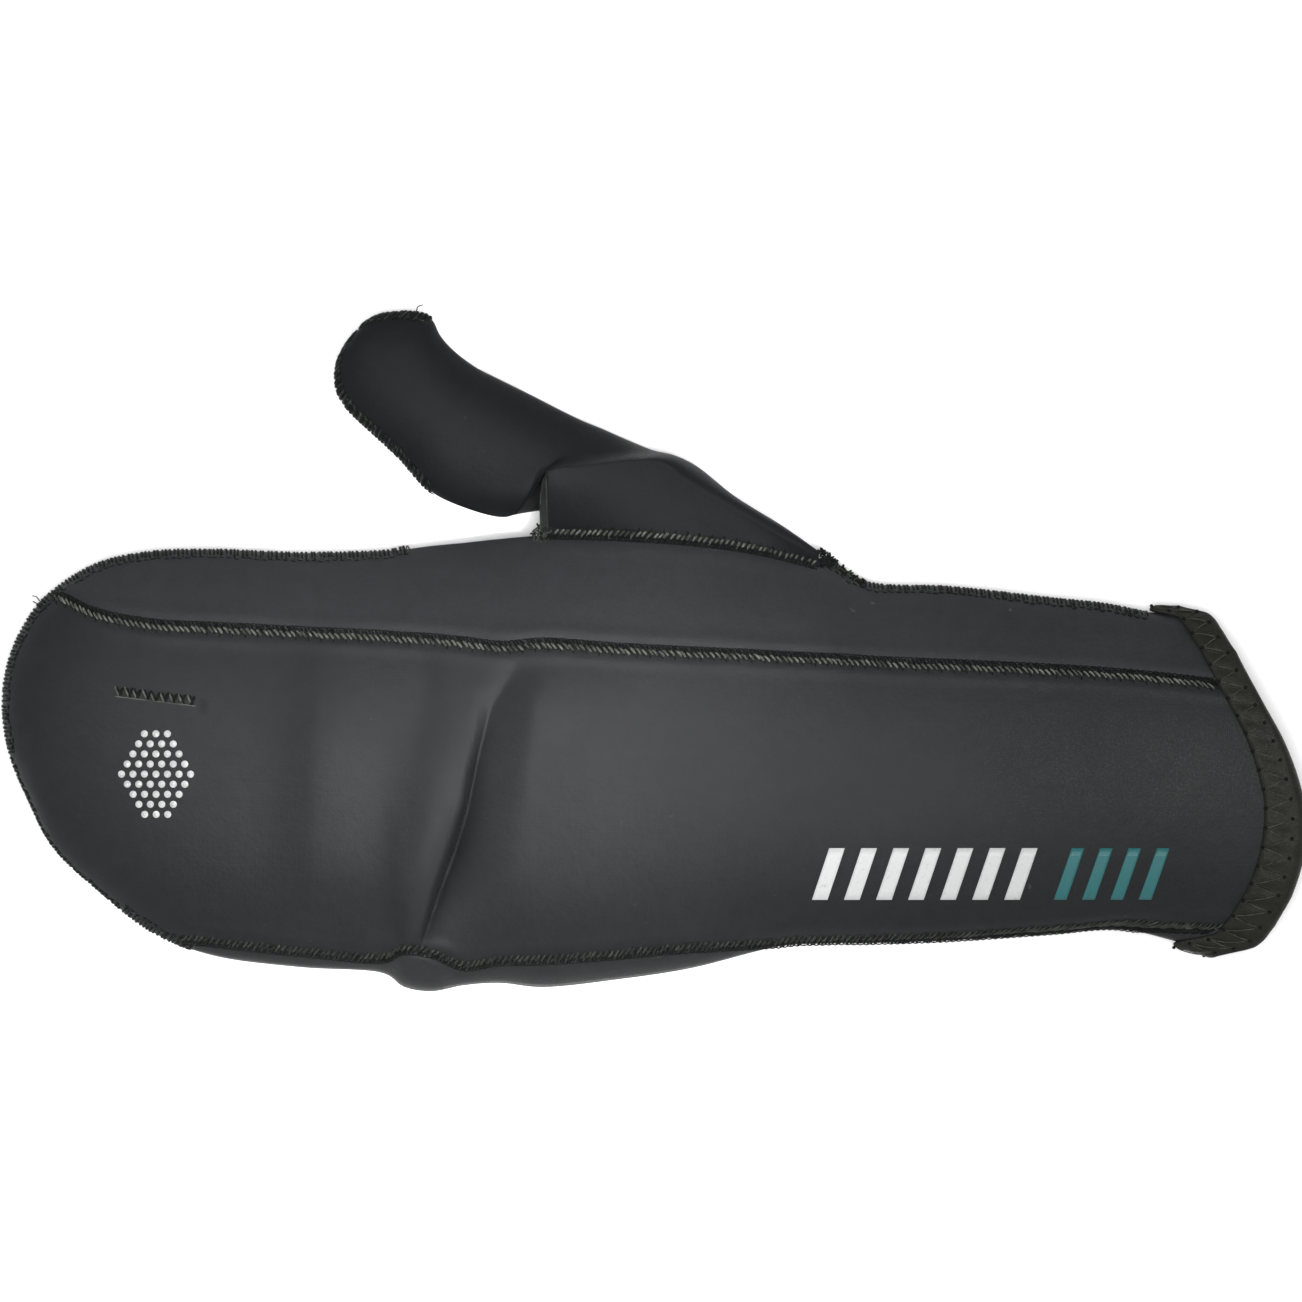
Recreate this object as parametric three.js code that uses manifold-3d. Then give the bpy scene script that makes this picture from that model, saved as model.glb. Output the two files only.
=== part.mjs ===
// Palmless paddling mitt for the left hand, lying palm down on a flat surface.
// Millimetres, +Z up. The fingertips point to -X, the cuff opens to +X, the thumb lies to +Y.
import * as THREE from 'three';
import Module from 'manifold-3d';

const wasm = await Module();
wasm.setup();

// Cloth and seams
const WALL = 2.5; // neoprene foam with knitted jersey on both faces
const SEAM_GAP = 0.4; // clearance between two panels that are sewn edge to edge
const STRIP_MIN = 0.9; // least width of the palm panel's strip above the little-finger fold
const RIDGE_SPREAD = 3.4; // how fast the folded gusset edge drops to the thumb behind it
const TIP_DOME = 9; // least dome height used to thin the wall at the fingertips

// Where the panels start and end, in rows of the body table
const BACK_SEAM_START = 3.2;
const STRIP_START = 5.5;
const GUSSET_END = 17.25;
const CREASE_START = 9.5; // rows are twice as close from here, where the crease crosses the knuckles
const CREASE_END = 12.5;
const PANEL_END = 22.72;
const BINDING_START = 22.02;

// One row per section of the mitt from the fingertips to the rim of the cuff.
// index/little: the two side contours. edgeY: free or gusset-sewn edge of the side panel.
// backY: seam between side and back panel. stripY: seam between back and palm panel.
// underY: seam between palm panel and gusset on the underside. sideZ: height of the side contour.
// crownZ: top of the dome. baseZ: underside. bow: how far the section line bows to the cuff.
const BODY_COLUMNS = ['indexX', 'indexY', 'littleX', 'littleY', 'edgeY', 'backY', 'stripY', 'underY',
  'sideZ', 'crownZ', 'baseZ', 'bow'];
const BODY_ROWS = [
  [-175.1, -14.3, -175.1, -14.3, null, null, null, null, 5.0, 5.0, 0, 0],
  [-173.7, -3.8, -173.5, -27.0, null, null, null, null, 5.3, 10.0, 0, 0],
  [-170.0, 5.4, -168.3, -40.0, null, null, null, null, 5.6, 14.0, 0, 0],
  [-163.2, 14.6, -161.1, -53.5, null, null, null, null, 5.9, 17.0, 0, 0],
  [-150.3, 23.0, -149.2, -64.8, null, 10.5, null, null, 6.2, 19.5, 0, 0],
  [-135.1, 26.5, -134.6, -76.1, null, 7.3, null, null, 6.5, 21.0, 0, 0],
  [-116.2, 27.0, -117.6, -82.6, null, 6.2, -78.8, null, 6.5, 22.0, 0, 0],
  [-94.6, 26.2, -94.6, -85.6, null, 5.1, -81.3, null, 6.5, 23.0, 0, 0],
  [-73.6, 26.7, -73.6, -86.9, null, 4.1, -83.2, null, 6.5, 24.0, 0, 0],
  [-67.1, 27.8, -66.6, -91.0, 27.1, 3.6, -80.7, null, 6.5, 24.5, 0, 0],
  [-59.5, 29.2, -59.0, -92.1, 28.1, 3.2, -81.5, null, 6.5, 25.0, 0, 0],
  [-50.9, 30.8, -50.4, -90.5, 28.9, 2.4, -85.1, null, 6.5, 25.0, 0, 0],
  [-39.3, 33.2, -40.6, -89.9, 30.1, 1.1, -83.7, null, 6.5, 25.5, 0, 0],
  [-28.5, 35.4, -28.5, -91.0, 30.8, 2.0, -83.4, 13.5, 6.5, 26.0, 0, 0],
  [-10.9, 38.1, -10.4, -89.1, 30.5, 0.8, -82.1, 13.5, 6.5, 26.0, 0, 0],
  [8.0, 38.1, 10.7, -85.9, 29.3, -0.3, -80.3, 13.5, 6.5, 25.5, 0, 0],
  [26.9, 32.7, 33.6, -80.2, 26.9, -1.2, -79.2, 13.8, 6.5, 24.5, 0, 0],
  [43.1, 27.8, 48.5, -79.2, 23.1, -2.0, -78.8, 15.2, 6.5, 23.5, 0, 0],
  [58.2, 18.4, 59.3, -79.1, null, -2.8, -78.8, null, 6.5, 23.0, 0, 0],
  [80.9, 17.0, 80.9, -78.3, null, -3.9, -78.0, null, 6.8, 22.5, 0, 4.0],
  [107.9, 14.0, 107.9, -76.4, null, -5.4, -76.1, null, 7.0, 22.5, 0, 10.0],
  [122.7, 12.4, 125.4, -75.1, null, -7.0, -74.9, null, 7.5, 23.0, 0.6, 18.0],
  [134.3, 10.2, 141.0, -78.4, null, -8.8, -75.1, null, 8.0, 23.5, 1.8, 25.5],
  [144.3, 10.3, 153.5, -82.0, null, -10.1, -75.6, null, 8.3, 24.0, 1.8, 25.2],
];

// How the cuff's rim bows out between the two side contours, as a share of the row's bow
const RIM_COLUMNS = ['across', 'out'];
const RIM_ROWS = [
  [0, 0],
  [0.02, 0.27],
  [0.06, 0.36],
  [0.12, 0.47],
  [0.25, 0.66],
  [0.38, 0.86],
  [0.52, 0.98],
  [0.6, 1.0],
  [0.72, 0.93],
  [0.83, 0.78],
  [0.92, 0.58],
  [0.97, 0.41],
  [1, 0],
];

// One row per section of the gusset and thumb, from the wrist to the thumb tip.
// bodyRow: where the gusset seam starts on the side panel. ridge: folded gusset edge, then the
// thumb's inner contour. out: outer contour. under: edge of the underside, beside the open palm.
// start: 0.5 for a half dome that leans on the gusset, 0 for a full thumb tube. thumbZ: its crown.
// tuck: share of the wall by which the lining is drawn in under the ridge.
const THUMB_COLUMNS = ['bodyRow', 'ridgeX', 'ridgeY', 'ridgeZ', 'outX', 'outY', 'underX', 'underY',
  'start', 'thumbZ', 'sideZ', 'tuck'];
const THUMB_ROWS = [
  [17.15, 45.2, 25.1, 10.0, 45.4, 26.5, null, null, 0.5, 9.6, 6.3, 1.0],
  [16.65, 33.9, 31.1, 12.5, 35.2, 33.6, null, null, 0.5, 11.5, 6.2, 0.9],
  [15.85, 20.4, 38.9, 14.5, 22.8, 41.3, null, null, 0.5, 12.8, 6.2, 0.7],
  [15.3, 8.8, 45.9, 15.8, 12.8, 49.3, null, null, 0.5, 13.2, 6.2, 0.4],
  [14.8, 2.6, 50.2, 16.8, 6.3, 52.5, 5.8, 16.7, 0.5, 13.4, 6.2, 0.2],
  [14.35, -5.5, 50.5, 18.2, 0.4, 54.0, -0.1, 22.7, 0.5, 13.6, 6.2, 0],
  [13.85, -15.8, 49.3, 19.8, -6.1, 56.6, -9.6, 29.7, 0.5, 13.8, 6.2, 0],
  [13.05, -28.2, 47.5, 21.0, -13.6, 59.9, -20.4, 35.6, 0.5, 14.0, 6.2, 0],
  [null, -31.7, 42.7, 17.0, -19.0, 62.1, -27.7, 37.8, 0.42, 14.0, 6.2, 0],
  [null, -35.8, 37.3, 11.0, -25.5, 65.3, -35.2, 37.0, 0.3, 14.0, 6.2, 0],
  [null, -40.6, 35.8, 7.4, -32.5, 68.9, -40.6, 36.2, 0.12, 13.6, 6.1, 0],
  [null, -50.1, 38.3, 6.2, -40.6, 72.9, -50.1, 38.6, 0.03, 13.2, 6.0, 0],
  [null, -59.5, 42.9, 5.8, -47.4, 76.4, -59.5, 42.9, 0, 13.0, 5.8, 0],
  [null, -67.6, 51.8, 5.8, -53.1, 80.7, -67.6, 51.8, 0, 12.6, 5.8, 0],
  [null, -75.2, 58.9, 5.7, -56.8, 84.8, -75.2, 58.9, 0, 12.2, 5.7, 0],
  [null, -81.1, 64.5, 5.6, -59.3, 89.4, -81.1, 64.5, 0, 11.8, 5.6, 0],
  [null, -84.6, 70.2, 5.6, -63.6, 91.0, -84.6, 70.2, 0, 11.2, 5.6, 0],
  [null, -84.9, 76.1, 5.5, -68.7, 91.0, -84.9, 76.1, 0, 10.4, 5.5, 0],
  [null, -83.3, 80.5, 5.5, -73.6, 90.2, -83.3, 80.5, 0, 9.2, 5.5, 0],
  [null, -80.6, 84.5, 5.4, -77.1, 88.3, -80.6, 84.5, 0, 7.6, 5.4, 0],
  [null, -79.0, 86.4, 5.4, -79.0, 86.4, -79.0, 86.4, 0, 5.4, 5.4, 0],
];
const GUSSET_ROWS = 7; // last thumb row that still carries the gusset
const CLOSED_ROW = 12; // first thumb row whose edges are sewn together

// Dents and swellings of the top. Each fold is a line through its rows: its rise there, and how far
// it spreads on the side of the fingertips (back) and on the side of the cuff (front).
const FOLD_COLUMNS = ['fold', 'x', 'y', 'rise', 'back', 'front'];
const FOLD_ROWS = [
  ['crease', -62.5, -82, 0, 5, 5],
  ['crease', -60.5, -76, -3.6, 1.0, 7],
  ['crease', -56.8, -64.8, -4.6, 0.9, 9],
  ['crease', -52.8, -54, -4.4, 0.9, 9],
  ['crease', -49.0, -42.4, -3.0, 1.0, 7],
  ['crease', -46.4, -29.7, -1.6, 1.6, 6],
  ['crease', -42.8, -15.4, -1.3, 2.6, 5],
  ['crease', -33.9, -1, 0, 4, 4],
  ['bulge', -70, -84, 0, 6, 6],
  ['bulge', -65, -68, 1.8, 8, 6],
  ['bulge', -58, -46, 1.5, 8, 6],
  ['bulge', -51, -22, 0, 7, 7],
  ['ridge', -40, -78, 0, 6, 6],
  ['ridge', -37, -60, 1.3, 7, 4.5],
  ['ridge', -33, -35, 1.3, 6, 3.5],
  ['ridge', -29.5, -12, 1.0, 6, 3],
  ['ridge', -28.5, -2, 0, 4, 4],
  ['tuck', -70, -81, 0, 3, 3],
  ['tuck', -68.5, -76, -3.2, 6, 1.3],
  ['tuck', -67.8, -68, -1.2, 6, 2],
  ['tuck', -67, -63, 0, 3, 3],
  ['knuckles', -88, -74, 0, 11, 11],
  ['knuckles', -88, -60, 1.3, 11, 11],
  ['knuckles', -86, 2, 1.0, 11, 11],
  ['knuckles', -86, 14, 0, 11, 11],
  ['hollow', -62, -30, 0, 6, 6],
  ['hollow', -61, -16, -1.0, 6, 6],
  ['hollow', -62, 0, -0.8, 6, 6],
  ['hollow', -63, 8, 0, 6, 6],
];
const FOLD_LEAST_SPREAD = 2.2; // narrower spreads would fall between the rows of these solids

// Edge of the open palm on the underside, from the index side round to the gusset
const OPENING = [
  [-76.3, 45], [-76.3, 25.4], [-71.7, 2.7], [-69.0, -24.3], [-67.6, -48.6], [-62.2, -64.8],
  [-48.7, -74.3], [-29.8, -77.0], [-8.2, -67.5], [-0.1, -48.6], [2.0, -24.3], [3.1, -2.7],
  [5.8, 8.1], [11.2, 12.6], [11.2, 45],
];
const OPENING_TOP = 9;

function toRows(columns, rows) {
  return rows.map((row) => Object.fromEntries(columns.map((name, i) => [name, row[i]])));
}

function clamp(value, low, high) {
  return Math.min(high, Math.max(low, value));
}

// Smooth curve through table rows: a, b, c, d are four neighbouring values
function throughPoints(a, b, c, d, f) {
  const slopeIn = (c - a) / 2;
  const slopeOut = (d - b) / 2;
  const f2 = f * f;
  const f3 = f2 * f;
  return (2 * f3 - 3 * f2 + 1) * b + (f3 - 2 * f2 + f) * slopeIn
    + (3 * f2 - 2 * f3) * c + (f3 - f2) * slopeOut;
}

function smoothColumn(rows, name, at, before) {
  const last = rows.length - 1;
  const i = clamp(Math.floor(at), 0, last - 1);
  const f = at - i;
  const b = rows[i][name];
  const c = rows[i + 1][name];
  const a = i > 0 ? rows[i - 1][name] : before ?? 2 * b - c;
  const d = i + 2 <= last ? rows[i + 2][name] : 2 * c - b;
  return throughPoints(a, b, c, d, f);
}

function straightColumn(rows, name, at) {
  const i = clamp(Math.floor(at), 0, rows.length - 2);
  return rows[i][name] + (rows[i + 1][name] - rows[i][name]) * (at - i);
}

const rim = toRows(RIM_COLUMNS, RIM_ROWS);
const folds = Object.values(Object.groupBy(toRows(FOLD_COLUMNS, FOLD_ROWS), (row) => row.fold));

// Seam positions are held as the share of the way across, 0 at the index side and 1 at the other
const body = toRows(BODY_COLUMNS, BODY_ROWS).map((row) => {
  const share = (y, other) => (y === null ? other : (row.indexY - y) / (row.indexY - row.littleY));
  return {
    ...row,
    edge: share(row.edgeY, 0),
    back: share(row.backY, 0),
    strip: share(row.stripY, 1),
    under: share(row.underY, 0),
  };
});

function rimOut(across) {
  const i = clamp(rim.findIndex((row) => row.across >= across) - 1, 0, rim.length - 2);
  const f = (across - rim[i].across) / (rim[i + 1].across - rim[i].across);
  const before = rim[Math.max(i - 1, 0)].out;
  const after = rim[Math.min(i + 2, rim.length - 1)].out;
  return throughPoints(before, rim[i].out, rim[i + 1].out, after, f);
}

// Soft dome across the top and the flatter curve of the underside, 0 at both sides
function dome(across) {
  return Math.max(0, 1 - Math.abs(2 * across - 1) ** 2.2) ** 0.62;
}

function flat(across) {
  return Math.max(0, 1 - Math.abs(2 * across - 1) ** 22) ** 0.5;
}

function thumbDome(across) {
  return Math.max(0, 1 - Math.abs(2 * across - 1) ** 2.4) ** 0.58;
}

function thumbFlat(across) {
  return Math.max(0, 1 - Math.abs(2 * across - 1) ** 6) ** 0.5;
}

function mix(a, b, f) {
  return a + (b - a) * f;
}

// What one stretch of a fold, from row a to row b, does at a point
function foldStretch(a, b, x, y) {
  const alongX = b.x - a.x;
  const alongY = b.y - a.y;
  const f = clamp(((x - a.x) * alongX + (y - a.y) * alongY) / (alongX ** 2 + alongY ** 2), 0, 1);
  const offX = x - mix(a.x, b.x, f);
  const away = Math.hypot(offX, y - mix(a.y, b.y, f));
  const side = offX < 0 ? 'back' : 'front';
  const spread = Math.max(mix(a[side], b[side], f), FOLD_LEAST_SPREAD);
  return { away, rise: mix(a.rise, b.rise, f) * Math.exp(-((away / spread) ** 2)) };
}

function foldRise(x, y) {
  let total = 0;
  for (const fold of folds) {
    const stretches = fold.slice(1).map((row, i) => foldStretch(fold[i], row, x, y));
    total += stretches.reduce((best, next) => (next.away < best.away ? next : best)).rise;
  }
  return total;
}

function contourAt(at, side, other) {
  return [
    smoothColumn(body, `${side}X`, at, body[1][`${other}X`]),
    smoothColumn(body, `${side}Y`, at, body[1][`${other}Y`]),
  ];
}

// Unit vector in plan that points from a side contour into the mitt
function contourInward(at, side, other, turn) {
  if (at < 0.01) {
    return [1, 0];
  }
  const step = 0.02;
  const [x0, y0] = contourAt(at - step, side, other);
  const [x1, y1] = contourAt(at + step, side, other);
  const length = Math.hypot(x1 - x0, y1 - y0);
  return [(turn * (y1 - y0)) / length, (-turn * (x1 - x0)) / length];
}

function sectionAt(at) {
  const section = {
    index: contourAt(at, 'index', 'little'),
    little: contourAt(at, 'little', 'index'),
    indexIn: contourInward(at, 'index', 'little', 1),
    littleIn: contourInward(at, 'little', 'index', -1),
    sideZ: smoothColumn(body, 'sideZ', at),
    crownZ: smoothColumn(body, 'crownZ', at, 2 * body[0].crownZ - body[1].crownZ),
    baseZ: straightColumn(body, 'baseZ', at),
    bow: straightColumn(body, 'bow', at),
  };
  section.width = Math.hypot(section.index[0] - section.little[0], section.index[1] - section.little[1]);
  return section;
}

// A point of the cloth: depth 0 is the outer face, WALL the lining, less than 0 lies outside.
// lift moves the meeting line of top and underside apart so that sewn edges keep a gap.
function bodyPoint(at, lower, across, depth, lift) {
  const section = sectionAt(at);
  const ends = ['index', 'little'].map((side) => [0, 1].map((axis) =>
    section[side][axis] + section[`${side}In`][axis] * depth));
  const x = ends[0][0] + (ends[1][0] - ends[0][0]) * across + section.bow * rimOut(across);
  const y = ends[0][1] + (ends[1][1] - ends[0][1]) * across;
  const { sideZ, baseZ } = section;
  if (lower) {
    const drop = (sideZ + lift - baseZ) * flat(across);
    return [x, y, sideZ + lift - drop * (1 - depth / (sideZ + lift - baseZ))];
  }
  const height = Math.max(0, section.crownZ - sideZ);
  const share = dome(across);
  const rise = height * share * (1 - depth / Math.max(height, TIP_DOME));
  return [x, y, sideZ + lift * (1 - share) ** 3 + rise + foldRise(x, y) * share ** 2];
}

function seamShare(name, at) {
  const share = clamp(smoothColumn(body, name, at), 0, 1);
  if (name === 'strip') {
    const width = sectionAt(at).width;
    return at < STRIP_START - 0.06 ? 1 : Math.min(share, 1 - STRIP_MIN / width);
  }
  if ((name === 'edge' || name === 'under') && at > GUSSET_END) {
    return 0;
  }
  if (name === 'back' && at < BACK_SEAM_START) {
    return 0;
  }
  return share;
}

function bothEnds(f) {
  return (1 - Math.cos(Math.PI * f)) / 2;
}

function nearStart(f) {
  return 1 - Math.cos((Math.PI * f) / 2);
}

// Columns round a section: which face, how many steps, and where they lie across it
const PARTS = {
  side: { lower: false, steps: 5, from: 'edge', to: 'back', spread: nearStart },
  back: { lower: false, steps: 13, from: 'back', to: 'strip', spread: bothEnds },
  strip: { lower: false, steps: 2, from: 'strip', to: null, spread: (f) => f },
  under: { lower: true, steps: 13, from: null, to: 'under', spread: bothEnds },
};

function columnsOf(partName, at, gap) {
  const part = PARTS[partName];
  const width = Math.max(sectionAt(at).width, 1);
  const open = (share) => (share > 0.0005 && share < 0.9995 ? gap / 2 / width : 0);
  const from = part.from ? seamShare(part.from, at) : 1;
  const to = part.to ? seamShare(part.to, at) : 1;
  const sign = part.lower ? -1 : 1;
  const first = from + sign * open(from) * (part.from ? 1 : 0);
  const end = to - sign * open(to) * (part.to ? 1 : 0);
  return Array.from({ length: part.steps + 1 }, (_, i) => ({
    lower: part.lower,
    across: first + (end - first) * part.spread(i / part.steps),
  }));
}

// Thickened cloth: outer and inner points in the same order, faces as loops of point numbers
class Cloth {
  constructor() {
    this.outer = [];
    this.inner = [];
    this.faces = [];
    this.known = new Map();
  }

  add(outer, inner) {
    const key = outer.map((value) => value.toFixed(4)).join(' ');
    if (!this.known.has(key)) {
      this.known.set(key, this.outer.length);
      this.outer.push(outer);
      this.inner.push(inner);
    }
    return this.known.get(key);
  }

  grid(ids) {
    for (let i = 0; i + 1 < ids.length; i += 1) {
      for (let j = 0; j + 1 < ids[i].length; j += 1) {
        const quad = [ids[i][j], ids[i][j + 1], ids[i + 1][j + 1], ids[i + 1][j]];
        this.triangle(quad[0], quad[1], quad[2]);
        this.triangle(quad[0], quad[2], quad[3]);
      }
    }
  }

  triangle(a, b, c) {
    if (a !== b && b !== c && c !== a) {
      this.faces.push([a, b, c]);
    }
  }

  // Closed triangle mesh: outer face, lining and the cut edges between them
  solid() {
    const count = this.outer.length;
    const points = [...this.outer, ...this.inner];
    const triangles = [];
    const edges = new Map();
    for (const [a, b, c] of this.faces) {
      triangles.push([a, b, c], [a + count, c + count, b + count]);
      for (const [p, q] of [[a, b], [b, c], [c, a]]) {
        edges.set(`${p} ${q}`, [p, q]);
      }
    }
    for (const [p, q] of edges.values()) {
      // Both panels at a seam split their cut edges the same way, so that the gap stays even
      const sameWay = this.outer[p][0] + 0.3 * this.outer[p][1] < this.outer[q][0] + 0.3 * this.outer[q][1];
      if (edges.has(`${q} ${p}`)) {
        continue;
      }
      if (sameWay) {
        triangles.push([q, p, p + count], [q, p + count, q + count]);
      } else {
        triangles.push([q, p, q + count], [p, p + count, q + count]);
      }
    }
    return { points, triangles };
  }
}

function rowsBetween(from, to) {
  const rows = [from];
  for (let at = Math.ceil(from * 2 + 0.1) / 2; at < to - 0.05; at += 0.5) {
    rows.push(at);
  }
  rows.push(to);
  return rows;
}

function panelRows(from, to) {
  const breaks = [STRIP_START - 0.13, STRIP_START - 0.05, GUSSET_END - 0.015, GUSSET_END + 0.015];
  for (let at = CREASE_START + 0.25; at < CREASE_END; at += 0.5) {
    breaks.push(at);
  }
  const rows = [...rowsBetween(from, to), ...breaks.filter((at) => at > from && at < to)];
  return rows.sort((a, b) => a - b).filter((at, i, all) => i === 0 || at - all[i - 1] > 0.02);
}

function addPart(cloth, partName, rows, lift) {
  cloth.grid(rows.map((at) => columnsOf(partName, at, SEAM_GAP).map(({ lower, across }) => cloth.add(
    bodyPoint(at, lower, across, 0, lift),
    bodyPoint(at, lower, across, WALL, lift),
  ))));
}

function backPanel() {
  const cloth = new Cloth();
  addPart(cloth, 'back', panelRows(0, PANEL_END), SEAM_GAP / 2);
  return cloth.solid();
}

function sidePanel() {
  const cloth = new Cloth();
  addPart(cloth, 'side', panelRows(BACK_SEAM_START, PANEL_END), SEAM_GAP / 2);
  return cloth.solid();
}

function palmPanel() {
  const cloth = new Cloth();
  addPart(cloth, 'under', panelRows(0, PANEL_END), -SEAM_GAP / 2);
  addPart(cloth, 'strip', panelRows(STRIP_START, PANEL_END), -SEAM_GAP / 2);
  const sheet = toManifold(cloth.solid());
  const cutter = toManifold(prism(OPENING, -1, OPENING_TOP));
  return fromManifold(sheet.subtract(cutter));
}

const thumbRows = toRows(THUMB_COLUMNS, THUMB_ROWS);

function thumbNumber(name, at) {
  return smoothColumn(thumbRows, name, at);
}

// Share across and point of the underside where the gusset meets the palm panel
function gussetUnder(bodyRow, depth) {
  const across = seamShare('under', bodyRow) - SEAM_GAP / sectionAt(bodyRow).width;
  return bodyPoint(bodyRow, true, across, depth, -SEAM_GAP / 2);
}

function gussetTop(bodyRow, depth) {
  const across = seamShare('edge', bodyRow) - SEAM_GAP / sectionAt(bodyRow).width;
  return bodyPoint(bodyRow, false, across, depth, SEAM_GAP / 2);
}

for (const row of thumbRows) {
  if (row.underX === null) {
    [row.underX, row.underY] = gussetUnder(row.bodyRow, 0);
    row.seamed = true;
  }
}

function thumbSection(at) {
  const names = ['ridgeX', 'ridgeY', 'ridgeZ', 'outX', 'outY', 'underX', 'underY', 'thumbZ', 'sideZ'];
  const section = Object.fromEntries(names.map((name) => [name, thumbNumber(name, at)]));
  section.start = clamp(thumbNumber('start', at), 0, 0.5);
  section.tuck = clamp(thumbNumber('tuck', at), 0, 1);
  section.ridge = [section.ridgeX, section.ridgeY];
  section.out = [section.outX, section.outY];
  section.under = [section.underX, section.underY];
  section.seamed = at <= 3;
  if (at >= CLOSED_ROW) {
    section.under = section.ridge;
    section.ridgeZ = section.sideZ;
  }
  section.length = Math.hypot(section.out[0] - section.ridge[0], section.out[1] - section.ridge[1]);
  section.outIn = thumbInward(at, 'out', section, 1);
  section.ridgeIn = thumbInward(at, 'ridge', section, -1);
  return section;
}

function thumbInward(at, side, section, turn) {
  const step = 0.05;
  const low = Math.max(at - step, 0);
  const high = Math.min(at + step, thumbRows.length - 1);
  const alongX = thumbNumber(`${side}X`, high) - thumbNumber(`${side}X`, low);
  const alongY = thumbNumber(`${side}Y`, high) - thumbNumber(`${side}Y`, low);
  const tip = thumbRows.length - 1;
  if (at > tip - 0.01) {
    return [0.58, -0.81];
  }
  const length = Math.hypot(alongX, alongY);
  return [(-turn * alongY) / length, (turn * alongX) / length];
}

function gussetGrid(cloth, rows) {
  const steps = 4;
  return rows.map((at) => {
    const section = thumbSection(at);
    const bodyRow = thumbNumber('bodyRow', at);
    const seam = gussetTop(bodyRow, 0);
    const lining = gussetTop(bodyRow, WALL);
    const ridgeShift = section.outIn.map((value) => value * WALL * section.tuck);
    return Array.from({ length: steps + 1 }, (_, i) => {
      const f = i / steps;
      const swell = 1 - (1 - f) ** 1.8;
      const plan = [0, 1].map((axis) => seam[axis] + (section.ridge[axis] - seam[axis]) * f);
      const shift = [0, 1].map((axis) => (lining[axis] - seam[axis]) * (1 - f) + ridgeShift[axis] * f);
      const z = seam[2] + (section.ridgeZ - seam[2]) * swell;
      const drop = (seam[2] - lining[2]) * (1 - f) + ridgeDrop(section, section.ridgeZ) * f;
      return cloth.add([...plan, z], [plan[0] + shift[0], plan[1] + shift[1], z - drop]);
    });
  });
}

// How far the lining lies below the outer face of the thumb
function ridgeDrop(section, z) {
  const dome = Math.max(section.thumbZ - section.sideZ, 3.2);
  return Math.min(WALL * 1.1, ((z - section.sideZ) * WALL) / dome);
}

function thumbTop(section, f) {
  const across = section.start + (1 - section.start) * f;
  const shaped = section.sideZ + (section.thumbZ - section.sideZ) * thumbDome(across);
  const near = Math.exp(-(((f * section.length) / RIDGE_SPREAD) ** 2)) * Math.min(1, 4 * section.start);
  const z = shaped + (section.ridgeZ - shaped) * near;
  const ridgeShare = Math.max(section.tuck, 1 - 2 * section.start);
  const ridgeIn = section.start < 0.3 ? section.ridgeIn : section.outIn;
  const plan = [0, 1].map((axis) => section.ridge[axis] + (section.out[axis] - section.ridge[axis]) * f);
  const shift = [0, 1].map((axis) => ridgeIn[axis] * WALL * ridgeShare * (1 - f)
    + section.outIn[axis] * WALL * f ** 2);
  return { outer: [...plan, z], inner: [plan[0] + shift[0], plan[1] + shift[1], z - ridgeDrop(section, z)] };
}

function thumbUnder(section, f, seamZ) {
  const across = f * (1 - section.start);
  const floorZ = seamZ * f;
  const z = floorZ + (section.sideZ - floorZ) * (1 - thumbFlat(across));
  const ridgeShare = 1 - 2 * section.start;
  const plan = [0, 1].map((axis) => section.out[axis] + (section.under[axis] - section.out[axis]) * f);
  const shift = [0, 1].map((axis) => section.outIn[axis] * WALL * (1 - f) ** 2
    + section.ridgeIn[axis] * WALL * ridgeShare * f);
  const rise = (WALL * (section.sideZ - z)) / section.sideZ;
  return { outer: [...plan, z], inner: [plan[0] + shift[0], plan[1] + shift[1], z + rise] };
}

function thumbGrid(cloth, rows) {
  const topSteps = 10;
  const underSteps = 7;
  return rows.map((at) => {
    const section = thumbSection(at);
    const ids = [];
    for (let i = 0; i <= topSteps; i += 1) {
      const { outer, inner } = thumbTop(section, bothEnds(i / topSteps));
      ids.push(cloth.add(outer, inner));
    }
    const seam = section.seamed ? gussetUnder(thumbNumber('bodyRow', at), 0) : [0, 0, 0];
    for (let i = 1; i <= underSteps; i += 1) {
      const { outer, inner } = thumbUnder(section, bothEnds(i / underSteps), seam[2]);
      ids.push(cloth.add(outer, inner));
    }
    return ids;
  });
}

function thumbPanel() {
  const cloth = new Cloth();
  const tip = thumbRows.length - 1;
  const rows = rowsBetween(0, tip);
  cloth.grid(gussetGrid(cloth, rows.filter((at) => at <= GUSSET_ROWS)));
  cloth.grid(thumbGrid(cloth, rows));
  return cloth.solid();
}

// The binding is folded over the cloth's end: profile as body row and depth, swept round the cuff
const BINDING_COLUMNS = ['at', 'depth'];
const BINDING_ROWS = [
  [BINDING_START, -0.5],
  [BINDING_START, -1.2],
  [BINDING_START + 0.08, -1.7],
  [22.5, -1.8],
  [22.82, -1.6],
  [22.94, -0.8],
  [23.0, 0.5],
  [23.0, 2.0],
  [22.94, 3.3],
  [22.82, 4.1],
  [22.5, 4.3],
  [BINDING_START + 0.08, 4.2],
  [BINDING_START, 3.7],
  [BINDING_START, 3.0],
  [22.5, 3.0],
  [PANEL_END + 0.03, 3.0],
  [PANEL_END + 0.03, -0.5],
  [22.5, -0.5],
];

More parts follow.
